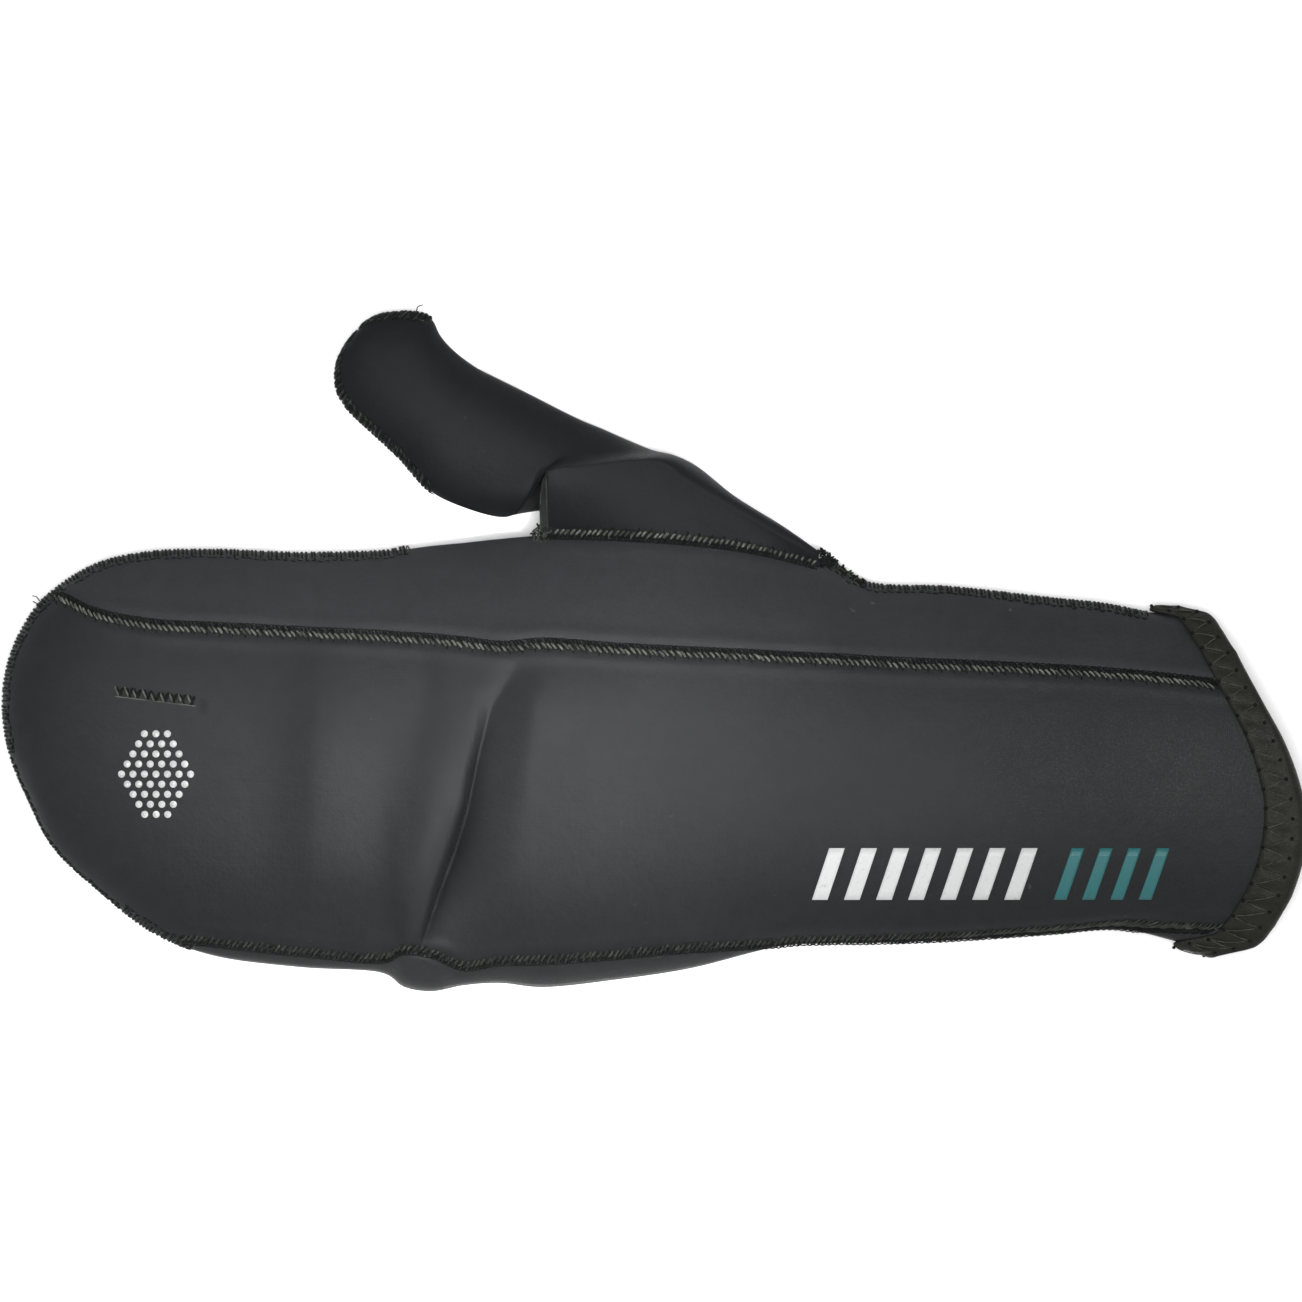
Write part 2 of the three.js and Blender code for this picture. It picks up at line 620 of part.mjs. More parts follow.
function cuffBinding() {
  const profile = toRows(BINDING_COLUMNS, BINDING_ROWS);
  const points = [];
  const loops = profile.map(({ at, depth }) => {
    const ring = Object.keys(PARTS).flatMap((name) => columnsOf(name, at, 0).slice(0, -1));
    return ring.map(({ lower, across }) => {
      points.push(bodyPoint(at, lower, across, depth, 0));
      return points.length - 1;
    });
  });
  const triangles = [];
  loops.forEach((loop, i) => {
    const after = (i + 1) % loops.length;
    const next = loops[after];
    const toRim = profile[after].at >= profile[i].at;
    loop.forEach((_, j) => {
      const k = (j + 1) % loop.length;
      if (toRim) {
        triangles.push([loop[j], loop[k], next[k]], [loop[j], next[k], next[j]]);
      } else {
        triangles.push([loop[j], loop[k], next[j]], [loop[k], next[k], next[j]]);
      }
    });
  });
  return { points, triangles };
}

function prism(outline, low, high) {
  const shape = outline.map(([x, y]) => new THREE.Vector2(x, y));
  const count = outline.length;
  const caps = THREE.ShapeUtils.triangulateShape(shape, []);
  const points = [low, high].flatMap((z) => outline.map(([x, y]) => [x, y, z]));
  const turned = THREE.ShapeUtils.isClockWise(shape) ? -1 : 1;
  const facing = (a, b, c) => (turned > 0 ? [a, b, c] : [a, c, b]);
  const triangles = [];
  for (const [a, b, c] of caps) {
    const area = (shape[b].x - shape[a].x) * (shape[c].y - shape[a].y)
      - (shape[c].x - shape[a].x) * (shape[b].y - shape[a].y);
    const [p, q, r] = area > 0 ? [a, b, c] : [a, c, b];
    triangles.push([p + count, q + count, r + count], [p, r, q]);
  }
  for (let i = 0; i < count; i += 1) {
    const j = (i + 1) % count;
    triangles.push(facing(i, j, j + count), facing(i, j + count, i + count));
  }
  return { points, triangles };
}

function toManifold({ points, triangles }) {
  const mesh = new wasm.Mesh({
    numProp: 3,
    vertProperties: new Float32Array(points.flat()),
    triVerts: new Uint32Array(triangles.flat()),
  });
  mesh.merge();
  return new wasm.Manifold(mesh);
}

function fromManifold(solid) {
  const mesh = solid.getMesh();
  const points = [];
  for (let i = 0; i < mesh.vertProperties.length; i += mesh.numProp) {
    points.push(Array.from(mesh.vertProperties.slice(i, i + 3)));
  }
  const triangles = [];
  for (let i = 0; i < mesh.triVerts.length; i += 3) {
    triangles.push(Array.from(mesh.triVerts.slice(i, i + 3)));
  }
  return { points, triangles };
}

function cloth(colour, roughness) {
  return new THREE.MeshStandardMaterial({ color: colour, roughness, metalness: 0 });
}

function meshOf(name, { points, triangles }, material) {
  const geometry = new THREE.BufferGeometry();
  geometry.setAttribute('position', new THREE.Float32BufferAttribute(points.flat(), 3));
  geometry.setIndex(triangles.flat());
  geometry.computeVertexNormals();
  const mesh = new THREE.Mesh(geometry, material);
  mesh.name = name;
  return mesh;
}

const mitt = new THREE.Group();
mitt.name = 'palmless_mitt';
mitt.add(meshOf('back_panel', backPanel(), cloth(0x4a4c4c, 0.92)));
mitt.add(meshOf('side_panel', sidePanel(), cloth(0x414446, 0.92)));
mitt.add(meshOf('palm_panel', palmPanel(), cloth(0x47494a, 0.92)));
mitt.add(meshOf('thumb_panel', thumbPanel(), cloth(0x383b3d, 0.92)));
mitt.add(meshOf('cuff_binding', cuffBinding(), cloth(0x33342f, 0.88)));

// The origin lies under the middle of the mitt's box, on the surface that it rests on
const box = new THREE.Box3().setFromObject(mitt);
for (const mesh of mitt.children) {
  mesh.geometry.translate(-(box.min.x + box.max.x) / 2, -(box.min.y + box.max.y) / 2, 0);
}

export default mitt;
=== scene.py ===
import math

import bpy
import numpy as np
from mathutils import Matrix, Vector


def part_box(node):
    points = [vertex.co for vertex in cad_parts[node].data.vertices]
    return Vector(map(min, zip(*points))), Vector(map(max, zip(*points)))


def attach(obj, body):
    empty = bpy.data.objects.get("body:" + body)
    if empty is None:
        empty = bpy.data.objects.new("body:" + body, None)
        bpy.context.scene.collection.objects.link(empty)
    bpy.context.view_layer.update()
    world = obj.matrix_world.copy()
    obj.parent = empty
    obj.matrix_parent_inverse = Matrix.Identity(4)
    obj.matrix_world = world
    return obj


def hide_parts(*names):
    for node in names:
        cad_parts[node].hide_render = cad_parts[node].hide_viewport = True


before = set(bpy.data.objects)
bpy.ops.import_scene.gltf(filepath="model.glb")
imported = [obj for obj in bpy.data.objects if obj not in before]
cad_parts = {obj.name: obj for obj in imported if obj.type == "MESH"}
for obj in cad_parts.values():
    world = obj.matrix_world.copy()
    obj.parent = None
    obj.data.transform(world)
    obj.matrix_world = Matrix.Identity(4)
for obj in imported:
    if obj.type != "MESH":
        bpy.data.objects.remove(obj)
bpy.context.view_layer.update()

# Sizes are in millimetres until to_frame() turns them into metres
WALL = 2.5
JERSEY = 0.4
SEAM_GAP = 0.16
STRIP_MIN = 0.9
RIDGE_SPREAD = 3.4
RIDGE_LEAST = 3.2
TIP_DOME = 9
CUT_FLARE = 2.1

# Rows of the body table where the panels, seams and finer parts of the mesh start and end
BACK_SEAM_START = 3.2
STRIP_START = 5.5
GUSSET_START = 13.05
GUSSET_END = 17.25
BINDING_START = 22.02
PANEL_END = 22.72
CREASE_ROWS = (9.3, 12.9)

# Rows of the thumb table: the gusset's cut end, and where the thumb closes to a tube
GUSSET_ROWS = 7
CLOSED_ROW = 12

# Fineness of the meshes
MESH_STEP = 1.3
THUMB_STEP = 1.2
CREASE_FINENESS = 4
STEPS_ACROSS = 90

# The dip of the cloth at a sewn seam, and the swell on both sides of it
GROOVE_DEPTH = 0.6
GROOVE_SPREAD = 0.75
SWELL_HEIGHT = 0.3
SWELL_AWAY = 3.4
SWELL_SPREAD = 1.8

# Cuff binding, its zigzag, and the bar tack on the fingers
BINDING_HEIGHT = 1.8
BINDING_INSIDE = 3.0
BINDING_STEPS = 320
PUCKER = 0.22
ZIGZAG_PITCH = 5.2
ZIGZAG_ROWS = (22.04, 22.66)
ZIGZAG_MIDDLE = 22.35
TACK_FROM = (-143.5, -11.0)
TACK_TO = (-121.8, -13.6)
TACK_TEETH = 9
TACK_HALF = 1.3


BODY_COLUMNS = ("indexX", "indexY", "littleX", "littleY", "edgeY", "backY", "stripY", "underY",
                "sideZ", "crownZ", "baseZ", "bow")
BODY_ROWS = (
    (-175.1, -14.3, -175.1, -14.3, None, None, None, None, 5.0, 5.0, 0, 0),
    (-173.7, -3.8, -173.5, -27.0, None, None, None, None, 5.3, 10.0, 0, 0),
    (-170.0, 5.4, -168.3, -40.0, None, None, None, None, 5.6, 14.0, 0, 0),
    (-163.2, 14.6, -161.1, -53.5, None, None, None, None, 5.9, 17.0, 0, 0),
    (-150.3, 23.0, -149.2, -64.8, None, 10.5, None, None, 6.2, 19.5, 0, 0),
    (-135.1, 26.5, -134.6, -76.1, None, 7.3, None, None, 6.5, 21.0, 0, 0),
    (-116.2, 27.0, -117.6, -82.6, None, 6.2, -78.8, None, 6.5, 22.0, 0, 0),
    (-94.6, 26.2, -94.6, -85.6, None, 5.1, -81.3, None, 6.5, 23.0, 0, 0),
    (-73.6, 26.7, -73.6, -86.9, None, 4.1, -83.2, None, 6.5, 24.0, 0, 0),
    (-67.1, 27.8, -66.6, -91.0, 27.1, 3.6, -80.7, None, 6.5, 24.5, 0, 0),
    (-59.5, 29.2, -59.0, -92.1, 28.1, 3.2, -81.5, None, 6.5, 25.0, 0, 0),
    (-50.9, 30.8, -50.4, -90.5, 28.9, 2.4, -85.1, None, 6.5, 25.0, 0, 0),
    (-39.3, 33.2, -40.6, -89.9, 30.1, 1.1, -83.7, None, 6.5, 25.5, 0, 0),
    (-28.5, 35.4, -28.5, -91.0, 30.8, 2.0, -83.4, 13.5, 6.5, 26.0, 0, 0),
    (-10.9, 38.1, -10.4, -89.1, 30.5, 0.8, -82.1, 13.5, 6.5, 26.0, 0, 0),
    (8.0, 38.1, 10.7, -85.9, 29.3, -0.3, -80.3, 13.5, 6.5, 25.5, 0, 0),
    (26.9, 32.7, 33.6, -80.2, 26.9, -1.2, -79.2, 13.8, 6.5, 24.5, 0, 0),
    (43.1, 27.8, 48.5, -79.2, 23.1, -2.0, -78.8, 15.2, 6.5, 23.5, 0, 0),
    (58.2, 18.4, 59.3, -79.1, None, -2.8, -78.8, None, 6.5, 23.0, 0, 0),
    (80.9, 17.0, 80.9, -78.3, None, -3.9, -78.0, None, 6.8, 22.5, 0, 4.0),
    (107.9, 14.0, 107.9, -76.4, None, -5.4, -76.1, None, 7.0, 22.5, 0, 10.0),
    (122.7, 12.4, 125.4, -75.1, None, -7.0, -74.9, None, 7.5, 23.0, 0.6, 18.0),
    (134.3, 10.2, 141.0, -78.4, None, -8.8, -75.1, None, 8.0, 23.5, 1.8, 25.5),
    (144.3, 10.3, 153.5, -82.0, None, -10.1, -75.6, None, 8.3, 24.0, 1.8, 25.2),
)

RIM_ROWS = ((0, 0), (0.02, 0.27), (0.06, 0.36), (0.12, 0.47), (0.25, 0.66), (0.38, 0.86), (0.52, 0.98),
            (0.6, 1.0), (0.72, 0.93), (0.83, 0.78), (0.92, 0.58), (0.97, 0.41), (1, 0))

THUMB_COLUMNS = ("bodyRow", "ridgeX", "ridgeY", "ridgeZ", "outX", "outY", "underX", "underY",
                 "start", "thumbZ", "sideZ", "tuck")
THUMB_ROWS = (
    (17.15, 45.2, 25.1, 10.0, 45.4, 26.5, None, None, 0.5, 9.6, 6.3, 1.0),
    (16.65, 33.9, 31.1, 12.5, 35.2, 33.6, None, None, 0.5, 11.5, 6.2, 0.9),
    (15.85, 20.4, 38.9, 14.5, 22.8, 41.3, None, None, 0.5, 12.8, 6.2, 0.7),
    (15.3, 8.8, 45.9, 15.8, 12.8, 49.3, None, None, 0.5, 13.2, 6.2, 0.4),
    (14.8, 2.6, 50.2, 16.8, 6.3, 52.5, 5.8, 16.7, 0.5, 13.4, 6.2, 0.2),
    (14.35, -5.5, 50.5, 18.2, 0.4, 54.0, -0.1, 22.7, 0.5, 13.6, 6.2, 0),
    (13.85, -15.8, 49.3, 19.8, -6.1, 56.6, -9.6, 29.7, 0.5, 13.8, 6.2, 0),
    (13.05, -28.2, 47.5, 21.0, -13.6, 59.9, -20.4, 35.6, 0.5, 14.0, 6.2, 0),
    (None, -31.7, 42.7, 17.0, -19.0, 62.1, -27.7, 37.8, 0.42, 14.0, 6.2, 0),
    (None, -35.8, 37.3, 11.0, -25.5, 65.3, -35.2, 37.0, 0.3, 14.0, 6.2, 0),
    (None, -40.6, 35.8, 7.4, -32.5, 68.9, -40.6, 36.2, 0.12, 13.6, 6.1, 0),
    (None, -50.1, 38.3, 6.2, -40.6, 72.9, -50.1, 38.6, 0.03, 13.2, 6.0, 0),
    (None, -59.5, 42.9, 5.8, -47.4, 76.4, -59.5, 42.9, 0, 13.0, 5.8, 0),
    (None, -67.6, 51.8, 5.8, -53.1, 80.7, -67.6, 51.8, 0, 12.6, 5.8, 0),
    (None, -75.2, 58.9, 5.7, -56.8, 84.8, -75.2, 58.9, 0, 12.2, 5.7, 0),
    (None, -81.1, 64.5, 5.6, -59.3, 89.4, -81.1, 64.5, 0, 11.8, 5.6, 0),
    (None, -84.6, 70.2, 5.6, -63.6, 91.0, -84.6, 70.2, 0, 11.2, 5.6, 0),
    (None, -84.9, 76.1, 5.5, -68.7, 91.0, -84.9, 76.1, 0, 10.4, 5.5, 0),
    (None, -83.3, 80.5, 5.5, -73.6, 90.2, -83.3, 80.5, 0, 9.2, 5.5, 0),
    (None, -80.6, 84.5, 5.4, -77.1, 88.3, -80.6, 84.5, 0, 7.6, 5.4, 0),
    (None, -79.0, 86.4, 5.4, -79.0, 86.4, -79.0, 86.4, 0, 5.4, 5.4, 0),
)

# Dents and swellings of the top. Each fold is a line of rows: place, rise, and how far it spreads
# on the side of the fingertips and on the side of the cuff.
FOLDS = {
    "crease": ((-62.5, -82, 0, 5, 5), (-60.5, -76, -4.2, 1.0, 6.5), (-56.8, -64.8, -5.4, 0.9, 7.5),
               (-52.8, -54, -4.2, 0.9, 6.5), (-49.0, -42.4, -2.4, 1.0, 5), (-46.4, -29.7, -1.4, 1.6, 4.5),
               (-42.8, -15.4, -1.2, 2.6, 4.5), (-33.9, -1, 0, 4, 4)),
    "crease_line": ((-62.2, -81, 0, 0.4, 1.4), (-60.5, -76, -2.4, 0.4, 1.7), (-56.8, -64.8, -3.0, 0.4, 1.9),
                    (-52.8, -54, -2.6, 0.4, 1.7), (-49.0, -42.4, -1.4, 0.5, 1.4),
                    (-46.4, -29.7, -0.6, 0.6, 1.2), (-42.8, -15.4, 0, 0.6, 1.2)),
    "bulge": ((-70, -84, 0, 6, 6), (-65, -68, 1.8, 8, 6), (-58, -46, 1.5, 8, 6), (-51, -22, 0, 7, 7)),
    "ridge": ((-40, -78, 0, 6, 7), (-37, -60, 1.0, 7, 6), (-33, -35, 1.0, 6, 5), (-29.5, -12, 0.8, 6, 5),
              (-28.5, -2, 0, 4, 4)),
    "tuck": ((-70, -81, 0, 3, 3), (-68.5, -76, -3.2, 6, 1.3), (-67.8, -68, -1.2, 6, 2),
             (-67, -63, 0, 3, 3)),
    "knuckles": ((-89, -74, 0, 9, 12), (-89, -60, 1.6, 9, 13), (-87, 2, 1.3, 9, 13), (-86, 14, 0, 10, 12)),
    "hollow": ((-62, -30, 0, 6, 6), (-61, -16, -1.0, 6, 6), (-62, 0, -0.8, 6, 6), (-63, 8, 0, 6, 6)),
    "tack_dimple": ((-122, -14, 0, 1.4, 1.4), (-121, -14.2, -0.9, 1.4, 1.4), (-120, -14.4, 0, 1.4, 1.4)),
}
# A lower power makes the bottom of a fold sharper; 2 is a round one
ROUND_POWER = 2
FOLD_POWER = {"crease": 1.5, "crease_line": 1.0}

# Outline of the open palm; its two ends lie outside the mitt, beside the thumb
OPENING_TOP = 9
OPENING = ((-76.3, 45), (-76.3, 25.4), (-71.7, 2.7), (-69.0, -24.3), (-67.6, -48.6), (-62.2, -64.8),
           (-48.7, -74.3), (-29.8, -77.0), (-8.2, -67.5), (-0.1, -48.6), (2.0, -24.3), (3.1, -2.7),
           (5.8, 8.1), (11.2, 12.6), (11.2, 45))

OTHER_SIDE = {"index": "little", "little": "index"}
TURN = {"index": 1, "little": -1}
RIM_ROW = len(BODY_ROWS) - 1
TIP_ROW = len(THUMB_ROWS) - 1


def through_points(a, b, c, d, f):
    slope_in = (c - a) / 2
    slope_out = (d - b) / 2
    return ((2 * f**3 - 3 * f**2 + 1) * b + (f**3 - 2 * f**2 + f) * slope_in
            + (3 * f**2 - 2 * f**3) * c + (f**3 - f**2) * slope_out)


def smooth(values, at, before=None):
    values = np.asarray(values, float)
    at = np.asarray(at, float)
    first = 2 * values[0] - values[1] if before is None else before
    ext = np.concatenate(([first], values, [2 * values[-1] - values[-2]]))
    i = np.clip(np.floor(at).astype(int), 0, len(values) - 2)
    return through_points(ext[i], ext[i + 1], ext[i + 2], ext[i + 3], at - i)


def straight(values, at):
    return np.interp(at, np.arange(len(values)), values)


def table(columns, rows):
    return {name: [row[i] for row in rows] for i, name in enumerate(columns)}


body = table(BODY_COLUMNS, BODY_ROWS)
for share_name, y_name, other in (("edge", "edgeY", 0), ("back", "backY", 0), ("strip", "stripY", 1),
                                  ("under", "underY", 0)):
    body[share_name] = [
        other if y is None else (iy - y) / (iy - ly)
        for y, iy, ly in zip(body[y_name], body["indexY"], body["littleY"])]
thumb = table(THUMB_COLUMNS, THUMB_ROWS)


def rim_out(across):
    across = np.asarray(across, float)
    xs = np.array([row[0] for row in RIM_ROWS])
    ys = np.array([row[1] for row in RIM_ROWS])
    i = np.clip(np.searchsorted(xs, across, side="left") - 1, 0, len(xs) - 2)
    f = (across - xs[i]) / (xs[i + 1] - xs[i])
    return through_points(ys[np.maximum(i - 1, 0)], ys[i], ys[i + 1],
                          ys[np.minimum(i + 2, len(xs) - 1)], f)


def dome(across, power=2.2, bend=0.62):
    return np.maximum(0, 1 - np.abs(2 * across - 1) ** power) ** bend


def flat(across, power=22):
    return np.maximum(0, 1 - np.abs(2 * across - 1) ** power) ** 0.5


def mix(a, b, f):
    return a + (b - a) * f


def fold_rise(x, y):
    """How far the folds lift or lower the top over x, y."""
    total = np.zeros_like(x)
    for name, rows in FOLDS.items():
        power = FOLD_POWER.get(name, ROUND_POWER)
        nearest = np.full_like(x, np.inf)
        rise = np.zeros_like(x)
        for (ax, ay, rise_a, *spread_a), (bx, by, rise_b, *spread_b) in zip(rows, rows[1:]):
            along_x, along_y = bx - ax, by - ay
            f = np.clip(((x - ax) * along_x + (y - ay) * along_y) / (along_x**2 + along_y**2), 0, 1)
            off_x = x - mix(ax, bx, f)
            away = np.hypot(off_x, y - mix(ay, by, f))
            spread = np.where(off_x < 0, mix(spread_a[0], spread_b[0], f), mix(spread_a[1], spread_b[1], f))
            here = mix(rise_a, rise_b, f) * np.exp(-((away / spread) ** power))
            rise = np.where(away < nearest, here, rise)
            nearest = np.minimum(away, nearest)
        total = total + rise
    return total


def contour(at, side):
    """Place of the index or the little finger's side; the two meet at the fingertips."""
    before = OTHER_SIDE[side]
    return (smooth(body[side + "X"], at, body[before + "X"][1]),
            smooth(body[side + "Y"], at, body[before + "Y"][1]))


def inward(at, side):
    """Direction from a side contour into the mitt."""
    x0, y0 = contour(at - 0.02, side)
    x1, y1 = contour(at + 0.02, side)
    length = np.hypot(x1 - x0, y1 - y0)
    tip = at < 0.01
    return (np.where(tip, 1.0, TURN[side] * (y1 - y0) / length),
            np.where(tip, 0.0, -TURN[side] * (x1 - x0) / length))


def width_at(at):
    ix, iy = contour(at, "index")
    lx, ly = contour(at, "little")
    return np.hypot(ix - lx, iy - ly)


def body_point(at, lower, across, depth=0.0, lift=0.0):
    """Points of the cloth in millimetres; depth 0 is the outer face, WALL the lining."""
    at, across, depth = np.broadcast_arrays(*(np.asarray(v, float) for v in (at, across, depth)))
    (ix, iy), (lx, ly) = contour(at, "index"), contour(at, "little")
    (inx, iny), (lnx, lny) = inward(at, "index"), inward(at, "little")
    x0, y0 = ix + inx * depth, iy + iny * depth
    x1, y1 = lx + lnx * depth, ly + lny * depth
    x = x0 + (x1 - x0) * across + straight(body["bow"], at) * rim_out(across)
    y = y0 + (y1 - y0) * across
    side_z = smooth(body["sideZ"], at)
    crown = smooth(body["crownZ"], at, 2 * body["crownZ"][0] - body["crownZ"][1])
    base = straight(body["baseZ"], at)
    if lower:
        drop = (side_z + lift - base) * flat(across)
        z = side_z + lift - drop * (1 - depth / (side_z + lift - base))
    else:
        height = np.maximum(0, crown - side_z)
        share = dome(across)
        rise = height * share * (1 - depth / np.maximum(height, TIP_DOME))
        z = side_z + lift * (1 - share) ** 3 + rise + fold_rise(x, y) * share**2
    return np.stack([x, y, z], axis=-1)


def seam_share(name, at):
    """Where a seam lies across the mitt, from 0 at the index side to 1 at the little finger's."""
    at = np.asarray(at, float)
    share = np.clip(smooth(body[name], at), 0, 1)
    if name == "strip":
        return np.where(at < STRIP_START - 0.06, 1.0,
                        np.minimum(share, 1 - STRIP_MIN / np.maximum(width_at(at), 1)))
    if name in ("edge", "under"):
        return np.where(at > GUSSET_END, 0.0, share)
    return np.where(at < BACK_SEAM_START, 0.0, share)


# Moves everything onto the frame of the solids, whose box is centred on the origin
tip_x = float(body_point(0.0, True, 0.5)[0])
low_y = min(float(body_point(at, True, 1.0)[1]) for at in np.arange(9, 14.01, 0.5))
palm_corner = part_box("palm_panel")[0]
SHIFT = np.array([palm_corner[0] * 1000 - tip_x, palm_corner[1] * 1000 - low_y, 0])


def to_frame(points):
    return (np.asarray(points, float) + SHIFT) / 1000


class Cloth:
    """Thickened cloth: outer and inner points in the same order, plus the cut edges."""

    def __init__(self):
        self.outer = []
        self.inner = []
        self.quads = []
        self.count = 0

    def grid(self, outer, inner):
        rows, columns = outer.shape[:2]
        ids = np.arange(rows * columns).reshape(rows, columns) + self.count
        corners = [ids[:-1, :-1], ids[:-1, 1:], ids[1:, 1:], ids[1:, :-1]]
        self.outer.append(outer.reshape(-1, 3))
        self.inner.append(inner.reshape(-1, 3))
        self.quads.append(np.stack(corners, axis=-1).reshape(-1, 4))
        self.count += rows * columns

    def build(self, name):
        outer = np.concatenate(self.outer)
        inner = np.concatenate(self.inner)
        quads = np.concatenate(self.quads)
        _, first, same = np.unique(np.round(outer, 4), axis=0, return_index=True, return_inverse=True)
        outer, inner, quads = outer[first], inner[first], same.reshape(-1)[quads]
        faces = []
        edges = set()
        for quad in quads.tolist():
            face = [v for i, v in enumerate(quad) if v != quad[i - 1]]
            if len(face) < 3:
                continue
            faces.append(face)
            edges.update((v, face[(i + 1) % len(face)]) for i, v in enumerate(face))
        cut = [(p, q) for p, q in edges if (q, p) not in edges]
        cut.sort()
        layers = [outer] + [mix(outer, inner, f) for f in (JERSEY / WALL, 1 - JERSEY / WALL)] + [inner]
        count = len(outer)
        last = count * (len(layers) - 1)
        solid = faces + [[v + last for v in reversed(face)] for face in faces]
        slots = [0] * len(solid)
        for layer, slot in enumerate((0, 1, 0)):
            low, high = layer * count, (layer + 1) * count
            solid += [[q + low, p + low, p + high, q + high] for p, q in cut]
            slots += [slot] * len(cut)
        return make_mesh(name, np.concatenate(layers), solid, slots)


def make_mesh(name, points, faces, slots=None):
    mesh = bpy.data.meshes.new(name)
    used = np.unique(np.concatenate([np.array(f) for f in faces]))
    index = np.full(len(points), -1)
    index[used] = np.arange(len(used))
    mesh.from_pydata(to_frame(points[used]).tolist(), [], [[int(index[v]) for v in f] for f in faces])
    if slots is not None:
        mesh.polygons.foreach_set("material_index", slots)
    mesh.validate()
    mesh.update()
    mesh.polygons.foreach_set("use_smooth", [True] * len(mesh.polygons))
    piece = bpy.data.objects.new(name, mesh)
    bpy.context.collection.objects.link(piece)
    return piece


def step_lengths(points):
    return np.linalg.norm(np.diff(points, axis=0), axis=1)


def run_of(steps):
    """Length from the start to each point of a path with these steps."""
    return np.concatenate([[0], np.cumsum(steps)])


def even_rows(dense, steps, spacing):
    """Rows about one spacing apart along a path."""
    run = run_of(steps)
    return np.interp(np.linspace(0, run[-1], int(run[-1] / spacing) + 1), run, dense)


def body_rows(start, end):
    """Rows about one mesh step apart along the longer contour, closer where the crease crosses."""
    dense = np.linspace(start, end, 4000)
    crown, side = body_point(dense, False, 0.5), body_point(dense, True, 0.0)
    steps = np.maximum(step_lengths(crown), step_lengths(side))
    creased = (dense[:-1] > CREASE_ROWS[0]) & (dense[:-1] < CREASE_ROWS[1])
    return even_rows(dense, steps * np.where(creased, CREASE_FINENESS, 1), MESH_STEP)


def both_ends(f):
    """Shares from 0 to 1 that lie closer together at both ends."""
    return (1 - np.cos(np.pi * f)) / 2


def seam_groove(distance):
    """How far the cloth dips at a sewn seam, with a slight swell on both sides of it."""
    groove = GROOVE_DEPTH * np.exp(-((distance / GROOVE_SPREAD) ** 2))
    swell = SWELL_HEIGHT * np.exp(-(((np.abs(distance) - SWELL_AWAY) / SWELL_SPREAD) ** 2))
    return groove - swell


def panel(cloth, at, lower, first, end, spread, steps, lift, grooves=()):
    """Adds one face of the body from share first to share end, both given per row."""
    width = np.maximum(width_at(at), 1)[:, None]
    sign = -1 if lower else 1
    gap = sign * (SEAM_GAP / 2 / width)
    first, end = first[:, None], end[:, None]
    open_first = (first > 0.0005) & (first < 0.9995)
    open_end = (end > 0.0005) & (end < 0.9995)
    a = first + gap * open_first
    b = end - gap * open_end
    across = a + (b - a) * spread(np.linspace(0, 1, steps + 1))[None, :]
    rows = np.repeat(at[:, None], steps + 1, axis=1)
    outer, inner = (body_point(rows, lower, across, depth, lift) for depth in (0.0, WALL))
    for share in grooves:
        outer[..., 2] -= sign * seam_groove((across - share[:, None]) * width)
    cloth.grid(outer, inner)


def smooth_loop(points, steps):
    """A closed smooth curve through the points of a loop."""
    ring = np.array(points, float)
    f = np.arange(steps)[:, None] / steps
    before, after, second = (np.roll(ring, shift, 0) for shift in (1, -1, -2))
    return np.concatenate([through_points(*ends, f) for ends in zip(before, ring, after, second)])


def cut_opening(piece):
    """Cuts the open palm out of the underside with a prism."""
    rounded = smooth_loop(OPENING[1:-1], 8)[:-8]
    outline = np.concatenate([[OPENING[0]], rounded, [OPENING[-1]]])
    count = len(outline)
    ends = [np.column_stack([outline, np.full(count, z)]) for z in (-1.0, OPENING_TOP)]
    ring = list(range(count))
    faces = [ring[::-1], [v + count for v in ring]]
    faces += [[i, (i + 1) % count, (i + 1) % count + count, i + count] for i in ring]
    cutter = make_mesh("cutter", np.concatenate(ends), faces, [1] * len(faces))
    cutter.data.polygons.foreach_set("use_smooth", [False] * len(cutter.data.polygons))
    for owner in (piece, cutter):
        for name in ("outer", "edge"):
            owner.data.materials.append(bpy.data.materials.new(name))
    boolean = piece.modifiers.new("open_palm", "BOOLEAN")
    boolean.operation = "DIFFERENCE"
    boolean.solver = "EXACT"
    boolean.object = cutter
    cut = bpy.data.meshes.new_from_object(piece.evaluated_get(bpy.context.evaluated_depsgraph_get()))
    piece.modifiers.clear()
    piece.data = cut
    cut.materials.clear()
    bpy.data.objects.remove(cutter)


def build_back():
    at = body_rows(0, PANEL_END)
    cloth = Cloth()
    back, strip = seam_share("back", at), seam_share("strip", at)
    grooves = [np.where(at < BACK_SEAM_START, -1, back), np.where(at < STRIP_START, 2, strip)]
    panel(cloth, at, False, back, strip, both_ends, STEPS_ACROSS, SEAM_GAP / 2, grooves)
    return cloth.build("back_cloth")


def build_side():
    at = body_rows(BACK_SEAM_START, PANEL_END)
    cloth = Cloth()
    edge, back = seam_share("edge", at), seam_share("back", at)
    seamed = (at > GUSSET_START) & (at < GUSSET_END)
    grooves = [back, np.where(seamed, edge, -1)]
    panel(cloth, at, False, edge, back, both_ends, 30, SEAM_GAP / 2, grooves)
    return cloth.build("side_cloth")


